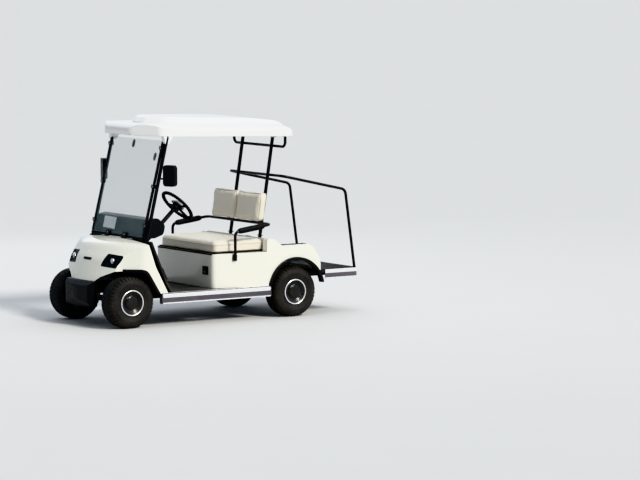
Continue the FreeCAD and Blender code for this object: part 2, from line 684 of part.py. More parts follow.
def front_cowl():
    """One-piece nose and front wings, open below and behind, with wheel arches and lamp openings."""
    outer, inner = cowl_forms()
    shell = outer.cut(inner)
    tail = side_form(((COWL_TAIL_X, FLOOR_Z, 0), (-232, 540, 300), (COWL_REAR_X, COWL_TOP_Z + 2, 0),
                      (400, COWL_TOP_Z + 2, 0), (400, COWL_BOTTOM_Z, 0), (0, COWL_BOTTOM_Z, 0),
                      (0, FLOOR_Z, 0)),
                     (-700, 700))
    lip = plan_form(even_plan(((COWL_REAR_X + 10, FRONT_POST_Y - 20, 0),
                               (COWL_LIP_X, FRONT_POST_Y - 20, 30))),
                    (COWL_TOP_Z - BODY_WALL, COWL_TOP_Z + 2))
    shell = shell.common(tail.fuse(lip))
    corner = end_form(((208, 200, 0), (208, COWL_BOTTOM_Z, 0), (262, 446, 50), (420, 504, 90),
                       (700, ARCH_TOP_Z, 0), (700, 200, 0)), (CORNER_X, 400))
    arch = side_form(front_arch(), (305, 700)).common(box((-400, CORNER_X), (305, 700), (200, 600)))
    for cutter in (arch, corner, lamp_form(FACE_GAP)):
        shell = shell.cut(cutter).cut(mirrored(cutter))
    return shell.cut(front_posts(FACE_GAP))


def headlights():
    """Two slanted lamp housings let into the nose, flush with it."""
    outer, inner = cowl_forms()
    deep = inner.copy()
    deep.translate(V(-LAMP_DEPTH, 0, 0))
    return both(outer.common(lamp_form()).cut(deep).common(box((-200, 400), (0, 700), (400, 700))))


def arch_trims():
    """Black lips round the four wheel arches."""
    low, high = TRIM_OUT - TRIM_WIDTH, TRIM_OUT
    front = side_face(front_arch(), low - 130)
    ring = front.cut(front.makeOffset2D(-TRIM_DEPTH)).extrude(V(0, high - low + 130, 0))
    ring = ring.common(box((-306, CORNER_X - 1), (low - 130, high), (FLOOR_Z, 600)))
    ring = ring.common(cowl_plan(BODY_HALF - TRIM_OUT)).cut(cowl_plan(BODY_HALF - low))
    trims = both(ring).Solids
    rear = rear_arch(REAR_ARCH, (low, high)).cut(rear_arch(REAR_ARCH - TRIM_DEPTH, (low - 1, high + 1)))
    rear = rear.common(box((REAR_X - 340, SILL_REAR_X + 2), (low, high), (FLOOR_Z + 2, 600)))
    return Part.makeCompound(trims + both(rear).Solids)


def wheel_liners():
    """Black wheelhouse sheets over the four wheels, inside the arches and clear of the turned tyres."""
    out = BODY_HALF - BODY_WALL - 3
    front = side_face(front_arch(LINER_BACK), 236)
    sheet = front.makeOffset2D(LINER_WALL).cut(front).extrude(V(0, out - 236, 0))
    sheet = sheet.common(box((-400, -12), (236, out), (FLOOR_Z, 600))).cut(front_posts(FACE_GAP))
    sheet = sheet.common(cowl_plan(BODY_WALL + FACE_GAP))
    y = (WELL_HALF + 12, BODY_HALF - 46)
    rear = rear_arch(REAR_ARCH + LINER_WALL, y).cut(rear_arch(REAR_ARCH, (y[0] - 1, y[1] + 1)))
    rear = rear.common(box((REAR_X - 290, REAR_X + 400), y, (FLOOR_Z, 700)))
    return sheet, rear


def front_bumper():
    """Black rounded apron between the front wheels, hollow at the back."""
    nose, low, high = BUMPER_NOSE_X, BUMPER_LOW_Z, BUMPER_TOP_Z
    side = side_form(((RAIL_NOSE_X, low + 20, 0), (nose - 40, low, 40), (nose, low + 90, 60),
                      (nose, high - 50, 45), (nose - 60, high, 40), (RAIL_NOSE_X, high, 0)), (-400, 400))
    plan = plan_form(((RAIL_NOSE_X, -BUMPER_HALF, 0), (nose - 20, -BUMPER_HALF, 60), (nose, 0, 600),
                      (nose - 20, BUMPER_HALF, 60), (RAIL_NOSE_X, BUMPER_HALF, 0)), (0, 600))
    return side.common(plan)


def dash():
    """Dash moulding behind the screen with an open pocket at each end, seated on the cowl's rear edge."""
    low = COWL_TOP_Z + 6
    body = side_form(((-178, low, 0), (-178, low - 25, 0), (-206, low - 20, 0), (-206, low, 0),
                      (-300, low, 30),
                      (-392, low + 30, 40), (-412, low + 115, 45), (-330, low + 183, 60),
                      (-244, low + 165, 20),
                      (-202, low, 0)), (-DASH_HALF, DASH_HALF))
    for side in (1, -1):
        y = sorted((side * POCKET_INNER, side * POCKET_OUTER))
        pocket = side_form(((-300, low + 57, 25), (-300, low + 145, 25), (-450, low + 145, 0),
                            (-450, low + 57, 0)), y)
        body = body.cut(pocket)
    outer = cowl_forms()[0]
    return body.cut(outer).cut(steering_line(COLUMN_RADIUS + 3, -200, COLUMN_LENGTH + 300))


def column_way():
    """Unit vector down the steering column, away from the driver."""
    a = math.radians(COLUMN_TILT)
    return V(math.cos(a), 0, -math.sin(a))


def steering_line(radius, start, end):
    """A round bar on the steering column's line, measured from the wheel's centre."""
    hub, way = V(*WHEEL_HUB), column_way()
    return cylinder(radius, tuple(hub + way * start), tuple(hub + way * end))


def lower_shaft(gap=0.0):
    """The covered shaft from the column's foot to the steering box."""
    foot = V(*WHEEL_HUB) + column_way() * (COLUMN_LENGTH - 20)
    low = (PITMAN_X - 20, PITMAN_Y + 10, steering_box_low() + BOX_SIZE[2])
    return cylinder(SHAFT_RADIUS + gap, tuple(foot), low)


def steering_column():
    """Jacket tube from the wheel to the toe board and the covered shaft to the steering box."""
    column = fused([steering_line(COLUMN_RADIUS, HUB_DEPTH + FACE_GAP, COLUMN_LENGTH), lower_shaft()])
    return column.cut(steering_box())


def steering_wheel():
    """Round grip, two spokes and a hub on the column's end."""
    hub, way = V(*WHEEL_HUB), column_way()
    ring = Part.makeTorus(WHEEL_DIAMETER / 2 - WHEEL_GRIP, WHEEL_GRIP, hub, way)
    across = V(0, 1, 0)
    down = across.cross(way)
    reach = WHEEL_DIAMETER / 2 - WHEEL_GRIP
    pieces = [ring, steering_line(42, -8, HUB_DEPTH)]
    for spoke in (across, across * -1, down):
        pieces.append(cylinder(11, tuple(hub + way * 12), tuple(hub + spoke * reach)))
    return fused(pieces)


def toe_board_x(z):
    """Where the toe board's cabin side lies at a height."""
    foot, top = (TOE_FOOT_X + 4, FLOOR_Z + 90), TOE_TOP
    slope = (top[0] - foot[0]) / (top[1] - foot[1])
    return foot[0] + (z - foot[1]) * slope - FLOOR_SHEET / 2 * math.hypot(1, slope)


def pedals():
    """Two foot plates on arms from the toe board."""
    shapes = []
    for y, width in PEDALS:
        pad = side_form(((PEDAL_X - 70, 395, 0), (PEDAL_X - 20, 500, 0), (PEDAL_X - 29, 505, 0),
                         (PEDAL_X - 79, 400, 0)), (y - width / 2, y + width / 2))
        arm = side_form(((PEDAL_X - 44, 450, 0), (toe_board_x(440), 440, 0), (toe_board_x(462), 462, 0),
                         (PEDAL_X - 35, 470, 0)), (y - 9, y + 9))
        shapes.append(fused([pad, arm]))
    return Part.makeCompound(shapes)


def rear_forms():
    """Outer and inner form of the seat box, deck and rear wings, with a recess for the cushion's back end."""
    side = side_face(((SEAT_FRONT_X, 200, 0), (SEAT_FRONT_X, SEAT_TOP_Z, 0), (DECK_X + 12, SEAT_TOP_Z, 0),
                      (DECK_X, DECK_TOP_Z, 30), (DECK_STEP_X + 60, DECK_TOP_Z - 14, 60),
                      (DECK_STEP_X - 20, QUARTER_Z, 40),
                      (BODY_END_X + 137, QUARTER_Z, 90), (BODY_END_X, 430, 0), (BODY_END_X, 200, 0)), -700)
    plan = plan_face(even_plan(((SEAT_FRONT_X, SEAT_HALF, 50), (DECK_X - 5, BODY_HALF - 8, 400),
                                (BODY_END_X, BODY_HALF - 30, 90))), 150)
    end = end_face(even(((BODY_HALF - 8, 180, 0), (BODY_HALF - 8, 640, 40), (BODY_HALF - 40, 850, 0))),
                   BODY_END_X - 100)
    outer, inner = moulded(drawn(side, V(0, 1400, 0), BODY_WALL), drawn(plan, V(0, 0, 750), BODY_WALL),
                           drawn(end, V(WHEELBASE, 0, 0), BODY_WALL))
    return outer.cut(seat_recess(0.0)), inner.cut(seat_recess(BODY_WALL))


def seat_recess(grow):
    """The space that the cushion's back end takes from the deck."""
    half = CUSHION_HALF + SEAT_RECESS + grow
    rear, corner = CUSHION_REAR_X - SEAT_RECESS - grow, 60 + SEAT_RECESS + grow
    return plan_form(((rear, -half, corner), (rear, half, corner), (DECK_X + 40, half, 0),
                      (DECK_X + 40, -half, 0)),
                     (SEAT_TOP_Z - grow, DECK_TOP_Z + 40))


def well_space(grow=0.0, low=0.0):
    """The bag well's space, reaching out past the tail."""
    return box((BODY_END_X - 60, DECK_STEP_X - 30 + grow), (-WELL_HALF - grow, WELL_HALF + grow),
               (WELL_Z - low, 720))


def rear_body():
    """Seat box, deck and rear wings in one moulding, open below, under the seat and over the bag well."""
    outer, inner = rear_forms()
    shell = outer.cut(inner)
    keep = side_form(((SEAT_FRONT_X + 20, FLOOR_Z, 0), (SEAT_FRONT_X + 20, 900, 0), (BODY_END_X - 20, 900, 0),
                      (BODY_END_X - 20, TAIL_Z, 0), (REAR_X, TAIL_Z, 0), (REAR_X, FLOOR_Z, 0)), (-700, 700))
    shell = shell.common(keep)
    for s in (1, -1):
        shell = shell.cut(rear_arch(REAR_ARCH, sorted((s * 300, s * 700))))
    shell = shell.cut(box((DECK_X + 40, SEAT_FRONT_X - 40), (-SEAT_HALF + 45, SEAT_HALF - 45), (560, 640)))
    return shell.cut(well_space(0.0, WELL_SHEET + FACE_GAP)).cut(rear_posts(FACE_GAP))


def rear_post(side, at):
    """A point of a rear post's middle line."""
    return at[0], side * REAR_POST_Y, at[1]


def rear_post_foot(above=0.0):
    """Where a rear post's middle line meets its outrigger, or a level above that."""
    (x0, z0), (x1, z1) = REAR_POST_DECK, REAR_POST_TOP
    z = RAIL_REAR_Z + RAIL_HEIGHT / 2 - 8 + above
    return x0 + (x1 - x0) * (z - z0) / (z1 - z0), z


def bag_well():
    """Black tub for the bags, hung by its rim on the body's top edges and open at the tail."""
    outer = rear_forms()[0]
    lifted = outer.copy()
    lifted.translate(V(0, 0, WELL_SHEET))
    rim = lifted.cut(outer).common(well_space(WELL_RIM, 60)).cut(well_space(-WELL_SHEET, 60))
    wall = box((BODY_END_X + 30, DECK_STEP_X - 30 - FACE_GAP), (-WELL_HALF + FACE_GAP, WELL_HALF - FACE_GAP),
               (WELL_Z - WELL_SHEET, 700)).common(lifted)
    return fused([wall.cut(well_space(-WELL_SHEET)), rim])


def receptacle():
    """Small dark socket cover on the seat box's front."""
    y0, z0, dy, dz = RECEPTACLE
    return box((SEAT_FRONT_X, SEAT_FRONT_X + 8), (y0 - dy / 2, y0 + dy / 2), (z0 - dz / 2, z0 + dz / 2))


def hinge_bars(radius, low, high):
    """Round bars on the seat hinges' line, from one distance past each hinge's middle to another."""
    x, z = HINGE_AT
    return [cylinder(radius, (x, y + low, z), (x, y + high, z)) for y in (-HINGE_Y, HINGE_Y)]


def seat_hinges():
    """Two hinges on the seat box's front edge: a foot, two barrels and the pin through the lid's barrel."""
    x, z = HINGE_AT
    half = HINGE_WIDTH / 2
    shapes = []
    for i, y in enumerate((-HINGE_Y, HINGE_Y)):
        pieces = [hinge_bars(HINGE_PIN, -half - HINGE_WIDTH, half + HINGE_WIDTH)[i]]
        for low in (-half - HINGE_WIDTH, half + FACE_GAP):
            pieces.append(hinge_bars(HINGE_RADIUS, low, low + HINGE_WIDTH - FACE_GAP)[i])
            pieces.append(box((x - HINGE_RADIUS, x + HINGE_RADIUS),
                              (y + low, y + low + HINGE_WIDTH - FACE_GAP),
                              (SEAT_TOP_Z, z)))
        shapes.append(fused(pieces))
    return Part.makeCompound(shapes)


def seat_pan():
    """Board under the seat cushion, with the hinges' leaves and barrels in front."""
    low = SEAT_TOP_Z + FACE_GAP
    half = HINGE_WIDTH / 2
    front = CUSHION_FRONT_X - 16
    pieces = [box((CUSHION_REAR_X + 10, front), (-CUSHION_HALF + 12, CUSHION_HALF - 12),
                  (low, low + PAN_SHEET))]
    pieces += hinge_bars(HINGE_RADIUS, -half, half)
    for y in (-HINGE_Y, HINGE_Y):
        pieces.append(box((front - 5, HINGE_AT[0]), (y - half, y + half), (low + 2, low + 6)))
    board = fused(pieces)
    for bore in hinge_bars(HINGE_PIN + PIN_GAP, -half - 1, half + 1):
        board = board.cut(bore)
    return board


def seat_cushion():
    """Closed form of the bench cushion."""
    low = SEAT_TOP_Z + FACE_GAP + PAN_SHEET
    plan = plan_form(((CUSHION_FRONT_X, -CUSHION_HALF, 45), (CUSHION_FRONT_X, CUSHION_HALF, 45),
                      (CUSHION_REAR_X, CUSHION_HALF, 60), (CUSHION_REAR_X, -CUSHION_HALF, 60)),
                     (low, low + CUSHION_HEIGHT))
    top = [e for e in plan.Edges if all(abs(v.Z - low - CUSHION_HEIGHT) < 0.01 for v in e.Vertexes)]
    return plan.makeFillet(CUSHION_ROUND, top)


def backrest_cushions():
    """Two closed cushions side by side, leaning back."""
    low = BACK_LOW_Z
    lean = math.tan(math.radians(BACK_LEAN))
    drop = BACK_HEIGHT * lean
    front, back = BACK_FRONT_X, BACK_FRONT_X - BACK_THICK
    pad = side_form(((front, low, 26), (front - drop, low + BACK_HEIGHT, 26),
                     (back - drop, low + BACK_HEIGHT, 26), (back, low, 26)), (BACK_SPLIT / 2, BACK_HALF))
    return both(pad)


def seat_frame():
    """One bent tube, armrest to armrest under the cushions, with feet, uprights and post brackets."""
    rear_x, rear_z = ARM_REAR
    points = ((ARM_X, ARM_Y, ARM_FOOT_Z), (ARM_X, ARM_Y, ARM_TOP_Z), (rear_x, ARM_Y, rear_z),
              (rear_x, -ARM_Y, rear_z), (ARM_X, -ARM_Y, ARM_TOP_Z), (ARM_X, -ARM_Y, ARM_FOOT_Z))
    lean = math.tan(math.radians(BACK_LEAN))
    body = rear_forms()[0]
    (foot_x, foot_z), (top_x, top_z) = rear_post_foot(), REAR_POST_TOP
    post_x = foot_x + (top_x - foot_x) * (rear_z - foot_z) / (top_z - foot_z)
    back, high = BACK_FRONT_X - BACK_THICK - FACE_GAP, BACK_LOW_Z + BACK_HEIGHT - 45
    tilt = lean * (high - BACK_LOW_Z)
    pieces = [tube(points, ARM_TUBE, 48.0)]
    for side in (1, -1):
        foot = box((ARM_X - 20, ARM_X + 20), sorted((side * (ARM_Y - 86), side * ARM_Y)),
                   (ARM_FOOT_Z - 15, SEAT_TOP_Z - 12))
        pieces.append(foot.cut(body))
        y = side * BACK_HALF / 2
        pieces.append(side_form(((rear_x + 4, rear_z - 8, 0), (rear_x + 4, rear_z + 8, 0),
                                 (back, rear_z + 8, 0),
                                 (back, BACK_LOW_Z, 0), (back - tilt, high, 0), (back - tilt - 12, high, 0),
                                 (back - 20, rear_z - 8, 0)), (y - 18, y + 18)))
        y = side * REAR_POST_Y
        bracket = box((post_x, rear_x), (y - 14, y + 14), (rear_z - 8, rear_z + 8))
        pieces.append(bracket.cut(rear_posts(FACE_GAP)))
    return fused(pieces)


def windshield(gap=0.0):
    """Flat clear sheet between the front posts, leaning back."""
    (x0, z0), (x1, z1) = SCREEN_LOW, SCREEN_HIGH
    up = V(x1 - x0, 0, z1 - z0)
    normal = V(up.z, 0, -up.x)
    normal.normalize()
    height = up.Length
    up.normalize()
    low, high = SCREEN_HALF_LOW + gap, SCREEN_HALF_HIGH + gap
    start = V(x0, 0, z0) - normal * gap
    face = cornered(((-low, -gap, 40), (low, -gap, 40), (high, height + gap, 40), (-high, height + gap, 40)),
                    lambda a, b: start + V(0, a, 0) + up * b)
    return face.extrude(normal * (SCREEN_SHEET + 2 * gap))


def screen_point(z, ahead=0.0):
    """A point of the screen's rear face at a height, moved ahead of it."""
    (x0, z0), (x1, z1) = SCREEN_LOW, SCREEN_HIGH
    return x0 + (x1 - x0) * (z - z0) / (z1 - z0) + ahead


def screen_mounts():
    """Two feet that carry the screen's lower edge on the cowl, and clips that tie its sides to the posts."""
    screen = windshield(SCREEN_GAP)
    outer = cowl_forms()[0]
    pieces = []
    for side in (1, -1):
        y = side * SCREEN_FOOT_Y
        low, high = COWL_TOP_Z - 16, SCREEN_LOW[1] + 29
        foot = side_form(((screen_point(low, SCREEN_SHEET), low, 0), (screen_point(low, 34), low, 0),
                          (screen_point(high, 18), high, 5), (screen_point(high, SCREEN_SHEET), high, 0)),
                         (y - SCREEN_FOOT_HALF, y + SCREEN_FOOT_HALF))
        pieces.append(foot.cut(outer).cut(screen))
        for z in SCREEN_CLIPS:
            x = screen_point(z)
            y = sorted((side * (SCREEN_HALF_HIGH - 14), side * (FRONT_POST_Y - 2)))
            clip = box((x - 14, x + 14), y, (z - 16, z + 16))
            pieces.append(clip.cut(screen).cut(front_posts(FACE_GAP)))
    solids = [solid for piece in pieces for solid in piece.Solids]
    return Part.makeCompound(solids)


def front_post_x(z):
    """Where a front post's middle line lies at a height."""
    (x0, z0), (x1, z1) = FRONT_POST_FOOT, FRONT_POST_TOP
    return x0 + (x1 - x0) * (z - z0) / (z1 - z0)


def front_posts(gap=0.0):
    """Tubes from the cowl up to the roof beside the screen."""
    post = cylinder(POST_RADIUS + gap, (FRONT_POST_FOOT[0], FRONT_POST_Y, FRONT_POST_FOOT[1]),
                    (FRONT_POST_TOP[0], FRONT_POST_Y, FRONT_POST_TOP[1]))
    return both(post)


def rear_posts(gap=0.0):
    """Tubes from the frame's outriggers up through the deck to the roof behind the seat."""
    x, z = rear_post_foot()
    below = box((x - 60, x + 60), (0, 400), (z - 60, z - gap))
    return both(cylinder(POST_RADIUS + gap, rear_post(1, rear_post_foot(-30)),
                         rear_post(1, REAR_POST_TOP)).cut(below))


def roof_drop(x):
    """How far the roof's edge has drooped at an x."""
    return (ROOF_STEP_X - x) * math.tan(math.radians(ROOF_DROOP))


def raised(foot, wall):
    """The crown's outline, upright below the tray and leaning in above it, pulled in by the wall."""
    low = foot.makeOffset2D(-wall) if wall else foot
    high = foot.makeOffset2D(-wall - CROWN_LEAN)
    high.translate(V(0, 0, 96))
    below = low.extrude(V(0, 0, -260))
    return below.fuse(Part.makeLoft([low.Wires[0], high.Wires[0]], True, True))


def roof_forms():
    """Outer and inner form of the roof: a broad tray and the raised crown on it."""
    length = ROOF_FRONT_X + 60 - ROOF_REAR_X
    way = V(-length - 60, 0, -(length + 60) * math.tan(math.radians(ROOF_DROOP)))
    start = ROOF_FRONT_X + 60
    lift = -roof_drop(start)
    edge, shoulder, lip, top = ROOF_EDGE_Z, ROOF_SHOULDER_Z, ROOF_LIP_Z, ROOF_TOP_Z
    rear = ROOF_REAR_X
    tray_side = side_face(((rear, edge - 200, 0), (ROOF_FRONT_X - 26, edge - 200, 0),
                           (ROOF_FRONT_X - 26, edge, 20),
                           (ROOF_FRONT_X, lip - 40, 40), (ROOF_FRONT_X - 60, lip, 50), (rear + 600, lip, 900),
                           (rear + 130, lip - 46, 300), (rear, edge - 4, 30)), -700)
    crown_side = side_face(((rear + 40, edge - 200, 0), (ROOF_STEP_X - 4, edge - 200, 0),
                            (ROOF_STEP_X, lip, 0),
                            (ROOF_STEP_X - 70, top - 4, 45), (ROOF_STEP_X - 200, top, 600),
                            (rear + 600, top - 14, 1500),
                            (rear + 110, top - 68, 200), (rear + 40, lip - 60, 0)), -700)
    plan = plan_face(even_plan(((ROOF_FRONT_X, 206, 170), (ROOF_STEP_X + 4, ROOF_HALF - 26, 80),
                                (ROOF_STEP_X - 260, ROOF_HALF, 900), (rear + 320, ROOF_HALF, 900),
                                (rear, ROOF_HALF - 44, 80))), edge - 300)
    crown_foot = even_plan(((ROOF_STEP_X + 8, 92, 150), (ROOF_STEP_X - 178, ROOF_CROWN_HALF - 6, 230),
                            (rear + 40, ROOF_CROWN_HALF + 20, 0)))
    tray_end = end_face(even(((ROOF_HALF - 4, edge - 300, 0), (ROOF_HALF, shoulder - 20 + lift, 30),
                              (ROOF_HALF - 50, shoulder + 14 + lift, 60),
                              (ROOF_CROWN_HALF - 40, lip + 14 + lift, 300),
                              )), start)
    crown_end = end_face(even(((ROOF_CROWN_HALF + 40, edge - 300, 0),
                               (ROOF_CROWN_HALF + 40, lip - 20 + lift, 0),
                               (ROOF_CROWN_HALF - 20, top - 2 + lift, 60),
                               (ROOF_CROWN_HALF - 160, top + 14 + lift, 300))), start)
    tray = moulded(drawn(tray_side, V(0, 1400, 0), ROOF_WALL), drawn(plan, V(0, 0, 600), ROOF_WALL),
                   drawn(tray_end, way, ROOF_WALL))
    foot = plan_face(crown_foot, lip - 20)
    risers = [raised(foot, wall) for wall in (0.0, ROOF_WALL)]
    crown = moulded(drawn(crown_side, V(0, 1400, 0), ROOF_WALL), risers, drawn(crown_end, way, ROOF_WALL))
    return tray[0].fuse(crown[0]), tray[1].fuse(crown[1])


def roof():
    """Moulded roof: a front lip, a raised crown and a tail that droops, with sockets for the tubes below."""
    outer, inner = roof_forms()
    slope = math.tan(math.radians(ROOF_DROOP))
    front, rear = ROOF_FRONT_X + 20, ROOF_REAR_X - 20
    keep = side_form(((front, ROOF_EDGE_Z - roof_drop(front), 0), (front, ROOF_TOP_Z + 20, 0),
                      (rear, ROOF_TOP_Z + 20, 0),
                      (rear, ROOF_EDGE_Z - roof_drop(rear), 0)), (-700, 700))
    pieces = [outer.cut(inner).common(keep)]
    ends = ((front_post_x(ROOF_EDGE_Z), FRONT_POST_Y - 12, -66), (REAR_POST_TOP[0], REAR_POST_Y, -20),
            (BAR_X, BAR_HALF, -4))
    for x, y, low in ends:
        z = ROOF_EDGE_Z - roof_drop(x)
        for side in (1, -1):
            pieces.append(cylinder(SOCKET_RADIUS, (x, side * y, z + 20),
                                   (x, side * y, ROOF_TOP_Z)).common(outer))
            if low < -50:
                gusset = side_form(((x + 44, z + 4, 0), (x + 34, z + low, 14), (x - 12, z + low, 14),
                                    (x - 56, z + 4, 0)),
                                   sorted((side * (y - 22), side * (y + 26))))
                pieces.append(gusset)
            else:
                pieces.append(cylinder(SOCKET_RADIUS, (x, side * y, z + low), (x, side * y, z + 21)))
    shape = fused(pieces)
    for tubes in (front_posts(FACE_GAP), rear_posts(FACE_GAP), roof_bar(FACE_GAP)):
        shape = shape.cut(tubes)
    return shape


def handrail():
    """Hoop round the bags: a bar behind the posts, two sides back, and two legs down to the platform."""
    points = [(HOOP_FOOT_X, HOOP_HALF, PLATFORM_Z - 10), (HOOP_BEND[0], HOOP_HALF, HOOP_BEND[1]),
              (HOOP_X, HOOP_HALF, HOOP_Z)]
    points += [(x, -y, z) for x, y, z in points[::-1]]
    below = box((HOOP_FOOT_X - 100, HOOP_FOOT_X + 100), (-600, 600), (PLATFORM_Z - 100, PLATFORM_Z))
    return tube(points, RAIL_TUBE, 60.0).cut(below)


def roof_bar(gap=0.0):
    """Bar across the back of the posts, turned up to the roof at both ends."""
    top = ROOF_EDGE_Z + 20
    points = ((BAR_X, BAR_HALF, top), (BAR_X, BAR_HALF, BAR_Z), (BAR_X, -BAR_HALF, BAR_Z),
              (BAR_X, -BAR_HALF, top))
    return tube(points, RAIL_TUBE + gap, 50.0)


def rear_platform():
    """Flat tread plate on the frame behind the bag deck."""
    return plan_form(((PLATFORM_REAR_X, -PLATFORM_HALF, 40), (PLATFORM_REAR_X, PLATFORM_HALF, 40),
                      (PLATFORM_FRONT_X, PLATFORM_HALF, 0), (PLATFORM_FRONT_X, -PLATFORM_HALF, 0)),
                     (RAIL_REAR_Z + RAIL_HEIGHT / 2, PLATFORM_Z))


def platform_edges():
    """Bright strip round three sides of the platform."""
    out = PLATFORM_HALF + EDGE_WALL
    high = PLATFORM_Z
    z = (high - PLATFORM_DEPTH, high)
    outer = plan_form(((PLATFORM_REAR_X - EDGE_WALL, -out, 40 + EDGE_WALL),
                       (PLATFORM_REAR_X - EDGE_WALL, out, 40 + EDGE_WALL),
                       (EDGE_FRONT_X, out, 0), (EDGE_FRONT_X, -out, 0)), z)
    inner = plan_form(((PLATFORM_REAR_X, -PLATFORM_HALF, 40), (PLATFORM_REAR_X, PLATFORM_HALF, 40),
                       (EDGE_FRONT_X + 1, PLATFORM_HALF, 0), (EDGE_FRONT_X + 1, -PLATFORM_HALF, 0)),
                      (z[0] - 1, z[1] + 1))
    return outer.cut(inner)


def mirrors():
    """A mirror on a short arm at each front post, turned towards the driver."""
    dx, dy, dz = MIRROR_SIZE
    head = end_form(((-dy / 2, -dz / 2, 30), (dy / 2, -dz / 2, 30), (dy / 2, dz / 2, 30),
                     (-dy / 2, dz / 2, 30)),
                    (-dx / 2, dx / 2))
    head.rotate(V(0, 0, 0), V(0, 0, 1), MIRROR_TURN)
    head.translate(V(MIRROR_X, MIRROR_Y, MIRROR_Z))
    arm = tube(((front_post_x(MIRROR_Z - 30), FRONT_POST_Y, MIRROR_Z - 30),
                (MIRROR_X + 10, MIRROR_Y - 40, MIRROR_Z - 30),
                (MIRROR_X, MIRROR_Y, MIRROR_Z)), MIRROR_ARM, 20.0)
    shape = fused([head, arm])
    return both(shape.cut(front_posts(FACE_GAP)))


def build():
    """Every node's shape by name."""
    nodes = {
        "frame": frame(), "front_axle": front_axle(), "leaf_springs": leaf_springs(),
        "steering_box": steering_box(), "rear_axle": rear_axle(), "drive_motor": drive_motor(),
        "battery_pack": battery_pack(), "floor_pan": floor_pan(), "side_sills": side_sills(),
        "front_cowl": front_cowl(), "front_bumper": front_bumper(), "arch_trims": arch_trims(),
        "front_liners": both(wheel_liners()[0]), "rear_liners": both(wheel_liners()[1]),
        "headlights": headlights(), "dash": dash(), "windshield": windshield(),
        "screen_mounts": screen_mounts(),
        "front_posts": front_posts(), "roof": roof(), "rear_posts": rear_posts(), "roof_bar": roof_bar(),
        "handrail": handrail(), "mirrors": mirrors(), "steering_column": steering_column(),
        "pedals": pedals(), "rear_body": rear_body(), "receptacle": receptacle(),
        "seat_hinges": seat_hinges(), "seat_frame": seat_frame(), "backrest_cushions": backrest_cushions(),
        "bag_well": bag_well(),
        "rear_platform": rear_platform(), "platform_edges": platform_edges(),
        "steering_wheel": steering_wheel(), "seat_pan": seat_pan(), "seat_cushion": seat_cushion(),
        "knuckle_left": knuckle(1), "knuckle_right": knuckle(-1), "tie_rod": tie_rod(),
        "pitman_arm": pitman_arm(),
    }
    for end, x, track in (("front", 0.0, FRONT_TRACK), ("rear", REAR_X, REAR_TRACK)):
        for name, side in (("left", 1), ("right", -1)):
            nodes[f"tyre_{end}_{name}"] = tyre(x, side * track / 2)
            nodes[f"rim_{end}_{name}"] = rim(x, side * track / 2)
    return nodes


def move_to_middle(nodes):
    """Brings the middle of the length to X = 0."""
    shift = -(BUMPER_NOSE_X + PLATFORM_REAR_X - EDGE_WALL) / 2
    for shape in nodes.values():
        shape.translate(V(shift, 0, 0))


os.makedirs("parts", exist_ok=True)
model = build()
move_to_middle(model)
for name, shape in model.items():
    shape.exportStep(f"parts/{name}.step")
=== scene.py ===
import json
import math

import bpy
import numpy as np
from mathutils import Matrix, Vector
from mathutils.bvhtree import BVHTree


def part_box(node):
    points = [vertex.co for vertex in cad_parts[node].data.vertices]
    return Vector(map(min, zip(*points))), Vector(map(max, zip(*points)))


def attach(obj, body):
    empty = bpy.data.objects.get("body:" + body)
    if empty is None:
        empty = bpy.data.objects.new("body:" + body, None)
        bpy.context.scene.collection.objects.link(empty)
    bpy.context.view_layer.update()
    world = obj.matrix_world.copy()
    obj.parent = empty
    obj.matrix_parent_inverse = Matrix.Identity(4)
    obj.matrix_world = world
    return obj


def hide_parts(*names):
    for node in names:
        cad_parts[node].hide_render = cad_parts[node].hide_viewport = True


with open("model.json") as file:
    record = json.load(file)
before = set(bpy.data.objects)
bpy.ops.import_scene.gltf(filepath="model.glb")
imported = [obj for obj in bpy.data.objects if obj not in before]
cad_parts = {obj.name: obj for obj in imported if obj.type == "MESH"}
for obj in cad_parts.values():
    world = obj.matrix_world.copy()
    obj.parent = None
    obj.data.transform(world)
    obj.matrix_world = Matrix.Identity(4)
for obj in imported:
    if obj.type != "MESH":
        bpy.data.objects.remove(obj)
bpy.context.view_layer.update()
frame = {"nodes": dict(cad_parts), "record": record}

# Two-seat golf cart: materials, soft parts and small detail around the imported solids.
# Layout lengths are millimetres, measured from the front axle's line on the ground:
# X forward, Y to the driver's left, Z up. at() turns them into the frame's metres.
MM = 0.001
FRONT_AXLE_X = 1103.5
SIDES = (("left", 1), ("right", -1))
REAR_AXLE_X = -1715
AXLES = (("front", 0, 475), ("rear", REAR_AXLE_X, 495))
TYRE_RADIUS = 230
FLOOR_Z = 300
PLATFORM_Z = 405

NODES = frame["nodes"]


def at(x, y, z):
    """A layout point in the frame's metres."""
    return Vector(((x + FRONT_AXLE_X) * MM, y * MM, z * MM))


# Materials

